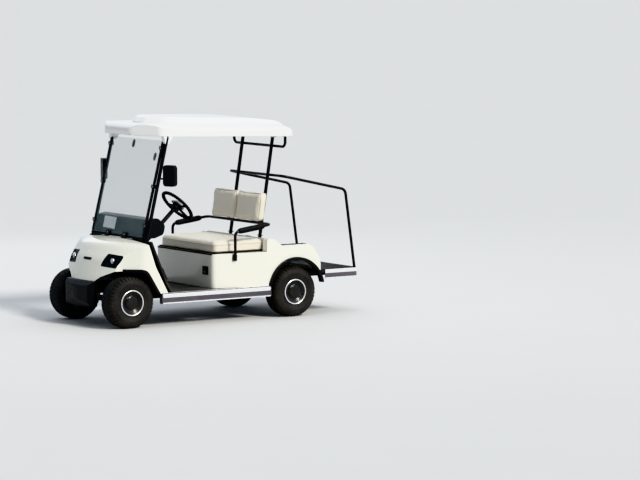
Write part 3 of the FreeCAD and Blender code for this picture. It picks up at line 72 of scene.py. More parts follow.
class Look:
    """A node material round one Principled shader, drawn in the object's own metres."""

    def __init__(self, name, colour, rough, metallic=0, **constants):
        self.material = bpy.data.materials.new(name)
        self.material.use_nodes = True
        self.tree = self.material.node_tree
        self.tree.nodes.clear()
        self.shader = self.tree.nodes.new("ShaderNodeBsdfPrincipled")
        out = self.tree.nodes.new("ShaderNodeOutputMaterial")
        self.tree.links.new(self.shader.outputs[0], out.inputs[0])
        self.place = self.tree.nodes.new("ShaderNodeTexCoord").outputs["Object"]
        self.shader.inputs["Metallic"].default_value = metallic
        for socket, value in constants.items():
            self.shader.inputs[socket.replace("_", " ")].default_value = value
        self.colour = self.flat(colour)
        self.rough = self.number(rough)
        self.height = None
        self.edge = None

    def node(self, kind, settings=None, **inputs):
        made = self.tree.nodes.new(kind)
        for key, value in (settings or {}).items():
            setattr(made, key, value)
        for key, value in inputs.items():
            self.feed(made.inputs[key.replace("_", " ")], value)
        return made

    def feed(self, socket, value):
        if isinstance(value, bpy.types.NodeSocket):
            self.tree.links.new(value, socket)
        else:
            socket.default_value = value

    def flat(self, colour):
        made = self.tree.nodes.new("ShaderNodeRGB")
        made.outputs[0].default_value = (*colour, 1)
        return made.outputs[0]

    def number(self, value):
        made = self.tree.nodes.new("ShaderNodeValue")
        made.outputs[0].default_value = value
        return made.outputs[0]

    def maths(self, operation, a, b, clamp=False):
        made = self.tree.nodes.new("ShaderNodeMath")
        made.operation = operation
        made.use_clamp = clamp
        self.feed(made.inputs[0], a)
        self.feed(made.inputs[1], b)
        return made.outputs[0]

    def spread(self, value, low, high, to_low=0, to_high=1):
        made = self.node("ShaderNodeMapRange", {"clamp": True}, Value=value)
        for key, number in (("From Min", low), ("From Max", high), ("To Min", to_low), ("To Max", to_high)):
            made.inputs[key].default_value = number
        return made.outputs[0]

    def noise(self, scale, detail=3, stretch=(1, 1, 1)):
        place = self.place
        if stretch != (1, 1, 1):
            place = self.node("ShaderNodeMapping", Vector=place, Scale=stretch).outputs[0]
        return self.node("ShaderNodeTexNoise", Vector=place, Scale=scale, Detail=detail).outputs[0]

    def cells(self, scale):
        made = self.node("ShaderNodeTexVoronoi", {"feature": "DISTANCE_TO_EDGE"}, Vector=self.place,
                         Scale=scale)
        return made.outputs[0]

    def axis(self, index):
        return self.node("ShaderNodeSeparateXYZ", Vector=self.place).outputs[index]

    def patches(self, scale, detail, low, high, amount, colour):
        """Mixes a colour in where a noise is high."""
        self.tint(self.spread(self.noise(scale, detail), low, high, 0, amount), colour)

    def dulled(self, scale, detail, low, high, amount, stretch=(1, 1, 1)):
        """Adds to the roughness where a noise is high."""
        self.rougher(self.spread(self.noise(scale, detail, stretch), low, high), amount)

    def grained(self, *bumps):
        """Adds noise bumps of (scale, detail, height in millimetres)."""
        for scale, detail, amount in bumps:
            self.raise_by(self.noise(scale, detail), amount)

    def tint(self, mask, colour):
        """Mixes a colour in by a mask."""
        made = self.tree.nodes.new("ShaderNodeMix")
        made.data_type = "RGBA"
        self.feed(made.inputs[0], mask)
        self.feed(made.inputs[6], self.colour)
        self.feed(made.inputs[7], (*colour, 1))
        self.colour = made.outputs[2]

    def rougher(self, mask, amount):
        self.rough = self.maths("ADD", self.rough, self.maths("MULTIPLY", mask, amount), clamp=True)

    def raise_by(self, field, amount):
        """Adds a height in millimetres to the bump."""
        step = self.maths("MULTIPLY", field, amount)
        self.height = step if self.height is None else self.maths("ADD", self.height, step)

    def edges(self, radius):
        """A mask that is high along edges."""
        bevel = self.node("ShaderNodeBevel", {"samples": 4}, Radius=radius * MM)
        normal = self.tree.nodes.new("ShaderNodeNewGeometry").outputs["Normal"]
        dot = self.node("ShaderNodeVectorMath", {"operation": "DOT_PRODUCT"})
        self.feed(dot.inputs[0], bevel.outputs[0])
        self.feed(dot.inputs[1], normal)
        self.edge = bevel.outputs[0]
        return self.spread(dot.outputs["Value"], 0.995, 0.90)

    def done(self):
        self.feed(self.shader.inputs["Base Color"], self.colour)
        self.feed(self.shader.inputs["Roughness"], self.rough)
        if self.height is not None:
            bump = self.node("ShaderNodeBump", Height=self.height, Strength=1, Distance=MM)
            if self.edge is not None:
                self.feed(bump.inputs["Normal"], self.edge)
            self.feed(self.shader.inputs["Normal"], bump.outputs[0])
        elif self.edge is not None:
            self.feed(self.shader.inputs["Normal"], self.edge)
        return self.material


def road_dust(look, low, high, amount, colour=(0.30, 0.27, 0.22)):
    """Dust that grows towards the ground, in patches."""
    near_ground = look.spread(look.axis(2), high, low, 0, amount)
    mask = look.maths("MULTIPLY", near_ground, look.spread(look.noise(6, 6), 0.35, 0.75))
    look.tint(mask, colour)
    look.rougher(mask, 0.5)


def darker(colour, share, more=0):
    return tuple(c * share + more for c in colour)


def moulded_white(name, colour, shade, rough, coat, rim):
    """Glossy moulded shell: soft tone changes, a faint ripple, fine scuffs and a little road dust."""
    look = Look(name, colour, rough, Coat_Weight=coat, Coat_Roughness=0.08)
    look.patches(1.6, 2, 0.35, 0.75, 0.15, shade)
    look.patches(70, 5, 0.62, 0.80, 0.10, (0.56, 0.54, 0.48))
    look.tint(look.maths("MULTIPLY", look.edges(rim), 0.05), (0.62, 0.60, 0.54))
    road_dust(look, 0.18, 0.46, 0.05, (0.50, 0.47, 0.41))
    look.dulled(14, 3, 0.4, 0.8, 0.05)
    look.grained((160, 1, 0.02), (5, 1, 0.10))
    return look.done()


def moulded_black(name, colour, rough, grain, dust=0.25, scale=1400):
    """Grained black moulding with greyed edges and dust."""
    look = Look(name, colour, rough, Specular_IOR_Level=0.22)
    look.patches(5, 4, 0.4, 0.75, 0.4, darker(colour, 1.7, 0.003))
    look.tint(look.maths("MULTIPLY", look.edges(1.5), 0.22), darker(colour, 1.5, 0.02))
    road_dust(look, 0.10, 0.60, dust)
    look.dulled(30, 5, 0.35, 0.75, 0.2)
    look.raise_by(look.cells(scale), grain)
    look.grained((60, 2, 0.04))
    return look.done()


def painted(name, colour, rough, coat=0.15, wear=(0.05, 0.05, 0.053), dust=0.08, metallic=0):
    """Powder-coated steel: orange peel, chipped edges and dust."""
    look = Look(name, colour, rough, metallic, Coat_Weight=coat, Coat_Roughness=0.15, Specular_IOR_Level=0.22)
    look.patches(8, 4, 0.4, 0.8, 0.5, darker(colour, 1.6, 0.003))
    chips = look.maths("MULTIPLY", look.edges(1.5), look.spread(look.noise(90, 4), 0.45, 0.65))
    look.tint(chips, wear)
    road_dust(look, 0.05, 0.5, dust)
    look.dulled(24, 5, 0.4, 0.8, 0.22)
    look.grained((420, 2, 0.05))
    return look.done()


def bright_metal(name, colour, rough, stretch, metallic=0.85):
    """Drawn aluminium: fine lines along its length, dull smears and small dents."""
    look = Look(name, colour, rough, metallic)
    lines = look.noise(900, 3, stretch)
    look.tint(look.spread(lines, 0.35, 0.75, 0, 0.2), darker(colour, 0.8))
    look.patches(12, 6, 0.6, 0.85, 0.15, (0.52, 0.51, 0.49))
    look.dulled(18, 5, 0.4, 0.8, 0.12)
    look.raise_by(lines, 0.015)
    look.grained((30, 1, 0.02))
    return look.done()


def vinyl(name, colour, shade):
    """Smooth seat vinyl: leather cells, soft creases and handling marks."""
    look = Look(name, colour, 0.42, Sheen_Weight=0.15, Sheen_Roughness=0.4)
    look.patches(3.5, 3, 0.35, 0.75, 0.6, shade)
    look.patches(45, 6, 0.6, 0.85, 0.25, (0.42, 0.36, 0.27))
    look.dulled(16, 4, 0.35, 0.8, 0.18)
    look.raise_by(look.spread(look.cells(520), 0, 0.12), 0.14)
    look.grained((11, 4, 0.6), (1300, 2, 0.03))
    return look.done()


def mottled(name, colour, rough, patches, dull, bumps, metallic=0, **constants):
    """Any other surface: patches of colour, one of roughness, and bumps."""
    look = Look(name, colour, rough, metallic, **constants)
    for patch in patches:
        look.patches(*patch)
    look.dulled(*dull)
    look.grained(*bumps)
    return look.done()


MATERIALS = {
    "body_white": moulded_white("body_white_mat", (0.84, 0.835, 0.745), (0.80, 0.79, 0.69), 0.24, 0.6, 3),
    "roof_white": moulded_white("roof_white_mat", (0.80, 0.805, 0.80), (0.77, 0.775, 0.77), 0.30, 0.4, 12),
    "black_plastic": moulded_black("black_plastic_mat", (0.0045, 0.0045, 0.005), 0.36, 0.06, 0.03),
    "grip_black": moulded_black("grip_black_mat", (0.0045, 0.0045, 0.005), 0.46, 0.12, 0.02, 900),
    "battery_case": moulded_black("battery_case_mat", (0.018, 0.018, 0.020), 0.55, 0.12, 0.25),
    "floor_rubber": moulded_black("floor_rubber_mat", (0.020, 0.020, 0.021), 0.62, 0.20, 0.35, 500),
    "sill_plastic": moulded_black("sill_plastic_mat", (0.085, 0.079, 0.094), 0.34, 0.04, 0.06),
    "black_steel": painted("black_steel_mat", (0.005, 0.005, 0.0055), 0.36),
    "black_tube": painted("black_tube_mat", (0.0035, 0.0035, 0.004), 0.32, 0.15),
    "spring_steel": painted("spring_steel_mat", (0.060, 0.058, 0.060), 0.42, 0.1, (0.3, 0.27, 0.24),
                            0.4, 0.6),
    "motor_shell": painted("motor_shell_mat", (0.060, 0.060, 0.065), 0.45, 0.2, dust=0.35),
    "wheel_black": painted("wheel_black_mat", (0.007, 0.007, 0.008), 0.20, 0.6),
    "bright_edge": bright_metal("bright_edge_mat", (0.88, 0.88, 0.89), 0.22, (0.04, 1, 1), 0.55),
    "seat_vinyl": vinyl("seat_vinyl_mat", (0.78, 0.735, 0.635), (0.73, 0.675, 0.57)),
    "tyre_rubber": mottled("tyre_rubber_mat", (0.016, 0.016, 0.0165), 0.62,
                           ((7, 5, 0.35, 0.7, 0.6, (0.042, 0.039, 0.035)),
                            (60, 6, 0.5, 0.8, 0.4, (0.072, 0.065, 0.055))),
                           (20, 5, 0.4, 0.8, 0.18), ((700, 3, 0.12), (90, 3, 0.15)),
                           Specular_IOR_Level=0.25),
    "clear_sheet": mottled("clear_sheet_mat", (0.36, 0.45, 0.47), 0.04,
                           ((5, 5, 0.5, 0.8, 0.4, (0.52, 0.58, 0.58)),),
                           (60, 6, 0.55, 0.8, 0.12, (1, 0.15, 1)), ((4, 1, 0.3),), Alpha=0.17, IOR=1.49),
    "lamp_lens": mottled("lamp_lens_mat", (0.022, 0.025, 0.03), 0.05,
                         ((30, 5, 0.5, 0.8, 0.4, (0.06, 0.06, 0.058)),),
                         (40, 5, 0.5, 0.8, 0.1), ((25, 1, 0.1),), Alpha=0.12, IOR=1.4),
}
MIRROR_FACE = mottled("mirror_face_mat", (0.82, 0.84, 0.86), 0.03,
                      ((20, 5, 0.5, 0.85, 0.3, (0.55, 0.55, 0.54)),), (35, 6, 0.55, 0.85, 0.15),
                      ((6, 1, 0.05),), 1)
CARD = mottled("card_mat", (0.93, 0.93, 0.93), 0.6, ((9, 4, 0.4, 0.8, 0.3, (0.84, 0.83, 0.80)),),
               (50, 4, 0.4, 0.8, 0.2), ((600, 3, 0.03),))
CHROME = bright_metal("reflector_bright_mat", (0.93, 0.93, 0.94), 0.10, (1, 1, 1), 1)
ZINC = bright_metal("zinc_fixing_mat", (0.62, 0.61, 0.58), 0.34, (1, 1, 1), 1)
PIPING = vinyl("piping_vinyl_mat", (0.66, 0.61, 0.51), (0.58, 0.53, 0.43))
COVER_BLACK = painted("cover_black_mat", (0.004, 0.004, 0.0045), 0.24, 0.55)
PALE_GREY = moulded_black("pale_grey_mat", (0.22, 0.22, 0.225), 0.45, 0.08, 0.1)

for row in frame["record"]["subparts"]:
    node = NODES[row["node"]]
    node.data.materials.clear()
    node.data.materials.append(MATERIALS[row["material_slot"]])


# Mesh helpers

def linked(name, data):
    """A new object in the scene."""
    obj = bpy.data.objects.new(name, data)
    bpy.context.scene.collection.objects.link(obj)
    return obj


def turned_outward(mesh):
    """Flips a closed form whose faces look inward."""
    volume = 0
    for face in mesh.polygons:
        corners = [mesh.vertices[k].co for k in face.vertices]
        for b, c in zip(corners[1:], corners[2:]):
            volume += corners[0].dot(b.cross(c))
    if volume < 0:
        mesh.flip_normals()


def piece(name, form, slot, body="body", material=None, crease=35):
    """A mesh that rides on a body. form is its (points in frame metres, faces)."""
    points, faces = form
    mesh = bpy.data.meshes.new(name)
    mesh.from_pydata([tuple(p) for p in points], [], faces)
    mesh.validate()
    turned_outward(mesh)
    mesh.polygons.foreach_set("use_smooth", [True] * len(mesh.polygons))
    mesh.set_sharp_from_angle(angle=math.radians(crease))
    mesh.update()
    mesh.materials.append(material or MATERIALS[slot])
    obj = linked(name, mesh)
    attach(obj, body)
    return obj


def softened(obj, width):
    """Rounds an object's hard edges with a bevel in millimetres."""
    bevel = obj.modifiers.new("rounded", "BEVEL")
    bevel.width = width * MM
    bevel.segments = 2
    bevel.limit_method = "ANGLE"
    bevel.angle_limit = math.radians(40)


def rounded(corners, closed=True, step=15):
    """(a, b, radius) corners as a polyline whose corners are arcs."""
    line, count = [], len(corners)
    for i, (a, b, radius) in enumerate(corners):
        here = Vector((a, b))
        if radius <= 0 or (not closed and i in (0, count - 1)):
            line.append(here)
            continue
        before = (Vector(corners[i - 1][:2]) - here).normalized()
        after = (Vector(corners[(i + 1) % count][:2]) - here).normalized()
        half = before.angle(after) / 2
        reach = radius / math.tan(half)
        start, end = here + before * reach, here + after * reach
        centre = here + (before + after).normalized() * (radius / math.sin(half))
        turn = (start - centre).angle_signed(end - centre)
        steps = max(2, math.ceil(abs(math.degrees(turn)) / step - 0.01))
        for k in range(steps + 1):
            spoke = (start - centre).copy()
            spoke.rotate(Matrix.Rotation(-turn * k / steps, 2))
            line.append(centre + spoke)
    return line


def boxed(low_a, low_b, high_a, high_b, radius, step):
    """A rounded rectangle."""
    corners = ((low_a, low_b), (high_a, low_b), (high_a, high_b), (low_a, high_b))
    return rounded([(a, b, radius) for a, b in corners], step=step)


def wrapped(start, end, half, radius, step):
    """Seen from above, a line back along one side, round the end and forward along the other."""
    corners = ((start, -half, 0), (end, -half, radius), (end, half, radius), (start, half, 0))
    return rounded(corners, closed=False, step=step)


def spokes(count, side, up):
    """Unit vectors at even turns from one direction towards another."""
    return [side * math.cos(math.tau * k / count) + up * math.sin(math.tau * k / count) for k in range(count)]


def grid_faces(rows, columns, wrap_rows=False, wrap_columns=False, flip=False):
    """Quads over a grid of points stored row by row."""
    faces = []
    for i in range(rows if wrap_rows else rows - 1):
        for j in range(columns if wrap_columns else columns - 1):
            k, m = (i + 1) % rows, (j + 1) % columns
            quad = (i * columns + j, i * columns + m, k * columns + m, k * columns + j)
            faces.append(quad[::-1] if flip else quad)
    return faces


def stack_faces(rows, columns, flip=False, top=True):
    """Quads round a stack of closed rows, closed below, and above too unless that end is a point."""
    faces = grid_faces(rows, columns, wrap_columns=True, flip=flip)
    ends = [list(range(columns))[::-1]]
    if top:
        ends.append([(rows - 1) * columns + k for k in range(columns)])
    return faces + [end[::-1] if flip else end for end in ends]


def divided(line, step, closed=True):
    """A line with its long runs divided."""
    dense = []
    for here, after in zip(line, line[1:] + line[:1] if closed else line[1:]):
        count = max(1, int((after - here).length / step))
        dense += [here.lerp(after, k / count) for k in range(count)]
    return dense if closed else dense + [line[-1]]


def middle_of(outline):
    return sum(outline, Vector((0, 0))) / len(outline)


def basis(way):
    """Two unit vectors square to a direction."""
    way = Vector(way).normalized()
    side = Vector((0, 0, 1)).cross(way)
    if side.length < 1e-3:
        side = Vector((1, 0, 0))
    side.normalize()
    return side, way.cross(side)


def turned(profile, origin, way, steps):
    """Points and faces of a (radius, distance) outline turned about an axis; all in millimetres.

    An outline that ends where it starts makes a ring, and any other is closed by a disc at each open end.
    """
    loop = profile[0] == profile[-1]
    if loop:
        profile = profile[:-1]
    side, up = basis(way)
    way = Vector(way).normalized()
    points = [origin + (spoke * r + way * t) * MM for spoke in spokes(steps, side, up) for r, t in profile]
    faces = grid_faces(steps, len(profile), wrap_rows=True, wrap_columns=loop, flip=True)
    for end in (0, len(profile) - 1):
        if not loop and profile[end][0] > 0.01:
            ring = [k * len(profile) + end for k in range(steps)]
            faces.append(ring if end == 0 else ring[::-1])
    return points, faces


def swept(path, section, closed=False):
    """Points and faces of a closed (a, b) section in millimetres carried along frame-metre points."""
    path = [Vector(p) for p in path]
    count = len(path)
    points, side = [], None
    for i, here in enumerate(path):
        before = path[i - 1] if i or closed else here
        after = path[(i + 1) % count] if i + 1 < count or closed else here
        way = (after - before).normalized()
        if side is None:
            side = basis(way)[0]
        side = (side - way * side.dot(way)).normalized()
        up = way.cross(side)
        points += [here + (side * a + up * b) * MM for a, b in section]
    if closed:
        return points, grid_faces(count, len(section), wrap_rows=True, wrap_columns=True)
    return points, stack_faces(count, len(section))


def circle(radius, steps=12):
    turns = [math.tau * k / steps for k in range(steps)]
    return [(radius * math.cos(turn), radius * math.sin(turn)) for turn in turns]


def prism(outline, thickness, place):
    """Points and faces of an outline given thickness; place(a, b, t) gives frame metres."""
    return [place(p[0], p[1], t) for t in (0, thickness) for p in outline], stack_faces(2, len(outline))


def merged(parts):
    """Several (points, faces) as one."""
    points, faces = [], []
    for more_points, more_faces in parts:
        shift = len(points)
        points += list(more_points)
        faces += [tuple(k + shift for k in face) for face in more_faces]
    return points, faces


def surface(node):
    """A ray and nearest-point tree of a solid."""
    mesh = NODES[node].data
    return BVHTree.FromPolygons([v.co for v in mesh.vertices], [tuple(p.vertices) for p in mesh.polygons])


def hex_head(origin, way, across, height, washer):
    """A hexagon head with a chamfer, on a washer."""
    flat, tall = across / 2, height
    parts = [turned([(0, 0), (flat, 0), (flat, tall * 0.75), (flat * 0.8, tall), (0, tall)], origin, way, 6)]
    parts.append(turned([(0, -0.4), (washer, -0.4), (washer, 1.4), (0, 1.4)], origin, way, 20))
    return merged(parts)


def dome_head(origin, way, radius, height):
    """A low round screw head."""
    profile = [(0, -0.5), (radius, -0.5), (radius, height * 0.3), (radius * 0.8, height * 0.75),
               (radius * 0.45, height), (0, height)]
    return turned(profile, origin, way, 14)


# Wheels

PITCHES = 40
# Grooves round the tread, (low y, high y, depth), and where the points of one pitch lie, in shares of it
GROOVES = ((14, 20, 6), (41, 47, 6.5))
SLOT_STATIONS = (0, 0.02, 0.19, 0.21, 0.36, 0.50, 0.515, 0.585, 0.60, 0.80)
SLOT_DEPTH = 6
SIPE_DEPTH = 4


def tyre_half():
    """(radius, y, groove depth, slot kind) down one half of the tyre's outline, bead to centre."""
    corners = ((104, 85, 0), (118, 85, 4), (172, 102.5, 30), (TYRE_RADIUS, 82.5, 40.6), (TYRE_RADIUS, 0, 0))
    line = rounded(corners, closed=False, step=9)
    rows = []
    for start, end in zip(line, line[1:]):
        count = 7 if abs(start[1] - 85) < 3 and end[0] > 140 else 1
        for k in range(count):
            p = start.lerp(end, k / count)
            rows.append([p[0], p[1], 0, None])
    rows = [r for r in rows if r[0] < TYRE_RADIUS - 0.05]
    for r in rows:
        if 128 < r[0] < 133 or 150 < r[0] < 156:
            r[1] += 0.9
        if r[0] > 203:
            r[3] = "slot"
    stations = [(53, 0, "slot"), (47.6, 0, "slot")]
    for low, high, depth in GROOVES[::-1]:
        stations += [(high, 0, "slot" if high > 40 else "sipe"), (high - 0.8, depth, None),
                     (low + 0.8, depth, None), (low, 0, "sipe")]
    stations += [(34, 0, "sipe"), (27, 0, "sipe"), (8, 0, None), (0, 0, None)]
    for y, depth, kind in sorted(stations, key=lambda s: -s[0]):
        if y < 14.5:
            kind = None
        rows.append([TYRE_RADIUS, y, depth, kind])
    return rows


def tyre(name, x, y, side):
    half = tyre_half()
    rows = half + [[r, -t, depth, kind] for r, t, depth, kind in half[-2::-1]]
    count = len(rows)
    radii = np.array([r[0] for r in rows])
    across = np.array([r[1] for r in rows])
    tangent_r, tangent_y = np.gradient(radii), np.gradient(across)
    length = np.hypot(tangent_r, tangent_y) + 1e-9
    normal_r, normal_y = -tangent_y / length, tangent_r / length
    points = []
    for pitch in range(PITCHES):
        for station in SLOT_STATIONS:
            angle = math.tau * (pitch + station) / PITCHES
            in_slot = 0.01 < station < 0.20
            in_sipe = 0.51 < station < 0.59
            c, s = math.cos(angle), math.sin(angle)
            for j, (r, t, depth, kind) in enumerate(rows):
                if kind == "slot" and in_slot:
                    depth = max(depth, SLOT_DEPTH * min(1, (r - 198) / 14))
                if kind == "sipe" and in_sipe:
                    depth = max(depth, SIPE_DEPTH)
                radius, offset = r - normal_r[j] * depth, t - normal_y[j] * depth
                points.append(at(x + radius * c, y + side * offset, TYRE_RADIUS + radius * s))
    faces = grid_faces(PITCHES * len(SLOT_STATIONS), count, wrap_rows=True, wrap_columns=True, flip=side < 0)
    return piece(f"tyre_tread_{name}", (points, faces), "tyre_rubber", f"wheel_{name}", crease=28)


# Bright ring round the cover, (radius, distance from the wheel's middle)
RING_PROFILE = ((105, 84), (105, 90.5), (107, 94), (110.5, 95.5), (114, 94), (116, 90.2), (115.6, 89.2),
                (112, 89.4), (106.2, 89.4), (105.6, 84), (105, 84))
# Wheel cover, (radius, distance from the wheel's middle): its back, then its front from the rim to the centre
DISH = ((0, 72), (56, 72), (62, 66), (98, 83), (101.5, 84), (102.5, 88.5), (100.5, 91), (97.5, 90.5),
        (80, 82), (64.5, 74.5), (61, 75), (59, 79.5), (55, 82), (40, 84), (20, 85.5), (0, 86))
DISH_PLEATS = 36
PLEAT_DEPTH = 4
# Rim hole of the valve, from the wheel's middle
VALVE_ANGLE = 112.5
VALVE_RADIUS = 93
VALVE_Y = 57


def pleated_dish(origin, way):
    """A concave wheel cover with radial pleats between its rim and its small hub."""
    side, up = basis(way)
    points, count = [], 4 * DISH_PLEATS
    for k, spoke in enumerate(spokes(count, side, up)):
        lift = (0, 1, 1, 0)[k % 4] * PLEAT_DEPTH
        for r, t in DISH:
            share = max(0, min(1, (r - 62) / 6, (99 - r) / 6))
            points.append(origin + (spoke * r + way * (t - lift * share)) * MM)
    return points, grid_faces(count, len(DISH), wrap_rows=True, flip=True)


def wheel(end, x, track, word, side):
    name = f"{end}_{word}"
    body = f"wheel_{name}"
    y = side * track
    out = Vector((0, side, 0))
    tread = tyre(name, x, y, side)
    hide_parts(f"tyre_{name}")
    hub = at(x, y, TYRE_RADIUS)
    piece(f"trim_ring_{name}", turned(RING_PROFILE, hub, out, 96), "bright_edge", body)
    piece(f"wheel_cover_{name}", pleated_dish(hub, out), "wheel_black", body, COVER_BLACK, 25)
    stem = [(0, 0), (5, 0), (4, 8), (3.2, 10), (3.2, 24), (4.2, 24.5), (4.2, 32), (3.4, 33), (0, 33)]
    angle = math.radians(VALVE_ANGLE)
    foot = at(x + VALVE_RADIUS * math.cos(angle), y + side * VALVE_Y,
              TYRE_RADIUS + VALVE_RADIUS * math.sin(angle))
    way = out + Vector((math.cos(angle), 0, math.sin(angle))) * -0.15
    piece(f"valve_{name}", turned(stem, foot, way, 12), "black_plastic", body)


for end, x, track in AXLES:
    for word, side in SIDES:
        wheel(end, x, track, word, side)


# Cushions

CLOTH = {"quality": 5, "mass": 0.4, "tension_stiffness": 25, "compression_stiffness": 25,
         "shear_stiffness": 12, "bending_stiffness": 2, "use_pressure": True, "uniform_pressure_force": 4}
SWELL_FRAMES = 20


def evaluated(obj):
    """The object's mesh with its modifiers applied."""
    graph = bpy.context.evaluated_depsgraph_get()
    return bpy.data.meshes.new_from_object(obj.evaluated_get(graph))


def settle(obj):
    """Replaces the mesh by its modified form and clears the modifiers."""
    mesh = evaluated(obj)
    obj.modifiers.clear()
    obj.data = mesh


def inflated(obj, cap):
    """Swells a closed cover like stuffed vinyl, no point moving further than the cap."""
    before = np.array([v.co for v in obj.data.vertices])
    cloth = obj.modifiers.new("cloth", "CLOTH")
    for key, value in CLOTH.items():
        setattr(cloth.settings, key, value)
    cloth.settings.effector_weights.gravity = 0
    cloth.collision_settings.use_collision = False
    cloth.point_cache.frame_start = 1
    cloth.point_cache.frame_end = SWELL_FRAMES
    scene = bpy.context.scene
    for number in range(1, SWELL_FRAMES + 1):
        scene.frame_set(number)
    after = np.array([v.co for v in evaluated(obj).vertices])
    obj.modifiers.clear()
    scene.frame_set(1)
    move = after - before
    far = np.linalg.norm(move, axis=1, keepdims=True)
    scale = cap * np.tanh(far / cap) / np.maximum(far, 1e-9)
    obj.data.vertices.foreach_set("co", (before + move * scale).ravel())


def cushion(name, form, node, body, voxel, cap, rest):
    """A stuffed cover from a closed form. rest is a (point, normal) plane it doesn't pass."""
    obj = piece(name, form, "seat_vinyl", body)
    remesh = obj.modifiers.new("remesh", "REMESH")
    remesh.mode = "VOXEL"
    remesh.voxel_size = voxel * MM
    smooth = obj.modifiers.new("smooth", "SMOOTH")
    smooth.factor = 0.5
    smooth.iterations = 6
    settle(obj)
    inflated(obj, cap * MM)
    point, normal = rest
    co = np.array([v.co for v in obj.data.vertices])
    below = (co - np.array(point)) @ np.array(normal)
    co -= np.minimum(below, 0)[:, None] * np.array(normal)
    obj.data.vertices.foreach_set("co", co.ravel())
    obj.data.polygons.foreach_set("use_smooth", [True] * len(obj.data.polygons))
    obj.data.update()
    finer = obj.modifiers.new("finer", "SUBSURF")
    finer.levels = finer.render_levels = 1
    settle(obj)
    obj.data.materials.clear()
    obj.data.materials.append(MATERIALS["seat_vinyl"])
    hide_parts(node)
    return obj


def skin(obj):
    return BVHTree.FromPolygons([v.co for v in obj.data.vertices],
                                [tuple(p.vertices) for p in obj.data.polygons])


WELT_SINK = 0.25


def welt(name, tree, loop, radius, body):
    """A piped seam that follows the nearest surface along a closed loop."""
    path = []
    for p in loop:
        hit, normal = tree.find_nearest(Vector(p))[:2]
        path.append(hit + normal * radius * (1 - WELT_SINK) * MM)
    count = len(path)
    for _ in range(3):
        path = [(path[i - 1] + path[i] * 2 + path[(i + 1) % count]) / 4 for i in range(count)]
    piece(name, swept(path, circle(radius, 8), closed=True), "seat_vinyl", body, PIPING, 60)


SEAT_LOW_Z = 619.3
SEAT_HIGH_Z = 723.3
SEAT_FRONT = -900
SEAT_REAR = -1467
SEAT_HALF = 492
SEAT_INSET = 9
BOX_HALF = 500
# (z, how far the outline is pulled in)
SEAT_LEVELS = ((SEAT_LOW_Z, 4), (SEAT_LOW_Z + 8, 0), (SEAT_HIGH_Z - 44, 0), (SEAT_HIGH_Z - 30, 3),
               (SEAT_HIGH_Z - 18, 10), (SEAT_HIGH_Z - 10, 20), (SEAT_HIGH_Z - 7, 34))
FRONT_ROUND = 45
REAR_ROUND = 60
WELT_REACH = 10


def seat_outline(inset):
    """Rounded rectangle seen from above, counted from the front right corner."""
    front, rear, half = SEAT_FRONT - inset, SEAT_REAR + inset, SEAT_HALF - inset
    return rounded(((front, -half, FRONT_ROUND), (front, half, FRONT_ROUND), (rear, half, REAR_ROUND),
                    (rear, -half, REAR_ROUND)), step=10)


def seat_cushion():
    """The bench cushion from the pan up over its rounded top edge, with a welt at each edge."""
    points, count = [], 0
    for z, pull in SEAT_LEVELS:
        outline = seat_outline(SEAT_INSET + pull)
        count = len(outline)
        points += [at(p[0], p[1], z) for p in outline]
    pan = (at(0, 0, SEAT_LOW_Z), (0, 0, 1))
    pad = cushion("seat_cushion_cover", (points, stack_faces(len(SEAT_LEVELS), count)),
                  "seat_cushion", "seat_lid", 9, 11, pan)
    tree = skin(pad)
    for word, z, radius in (("upper", SEAT_HIGH_Z - 26, 3.6), ("lower", SEAT_LOW_Z + 9, 3.2)):
        loop = [at(p[0], p[1], z) for p in seat_outline(-WELT_REACH)]
        welt(f"seat_welt_{word}", tree, divided(loop, 12 * MM), radius, "seat_lid")


BACK_LOW_Z = 878
BACK_HEIGHT = 252
BACK_FRONT = -1412
BACK_THICK = 88
BACK_LEAN = math.tan(math.radians(8))
BACK_INNER = 8
BACK_OUTER = 407


def back_place(side):
    """From (along Y, up, forward of the back face) of a backrest to frame metres."""
    def place(a, b, t):
        x = BACK_FRONT - BACK_THICK + t - BACK_LEAN * b
        return at(x, side * a, BACK_LOW_Z + b)
    return place


def back_outline(inset, corner):
    low, high = BACK_INNER + inset, BACK_OUTER - inset
    return boxed(low, inset, high, BACK_HEIGHT - inset, corner, 10)


def backrest(word, side):
    """One backrest cushion, built up from its back face, with a welt at each face."""
    place = back_place(side)
    # (forward of the back face, inset)
    levels = ((2, 8), (5, 3), (14, 0), (62, 0), (72, 3), (79, 10), (82, 22))
    points, count = [], 0
    for t, inset in levels:
        outline = back_outline(inset, 30)
        count = len(outline)
        points += [place(p[0], p[1], t) for p in outline]
    normal = Vector((math.cos(math.atan(BACK_LEAN)), 0, math.sin(math.atan(BACK_LEAN))))
    rest = (place(0, 0, 0.5), tuple(normal))
    pad = cushion(f"backrest_cover_{word}", (points, stack_faces(len(levels), count, side < 0)),
                  "backrest_cushions", "body", 6, 8, rest)
    tree = skin(pad)
    for seam, t, radius in (("front", 68, 3.4), ("rear", 10, 3)):
        loop = [place(p[0], p[1], t) for p in back_outline(-4, 34)]
        welt(f"backrest_welt_{seam}_{word}", tree, divided(loop, 10 * MM), radius, "body")


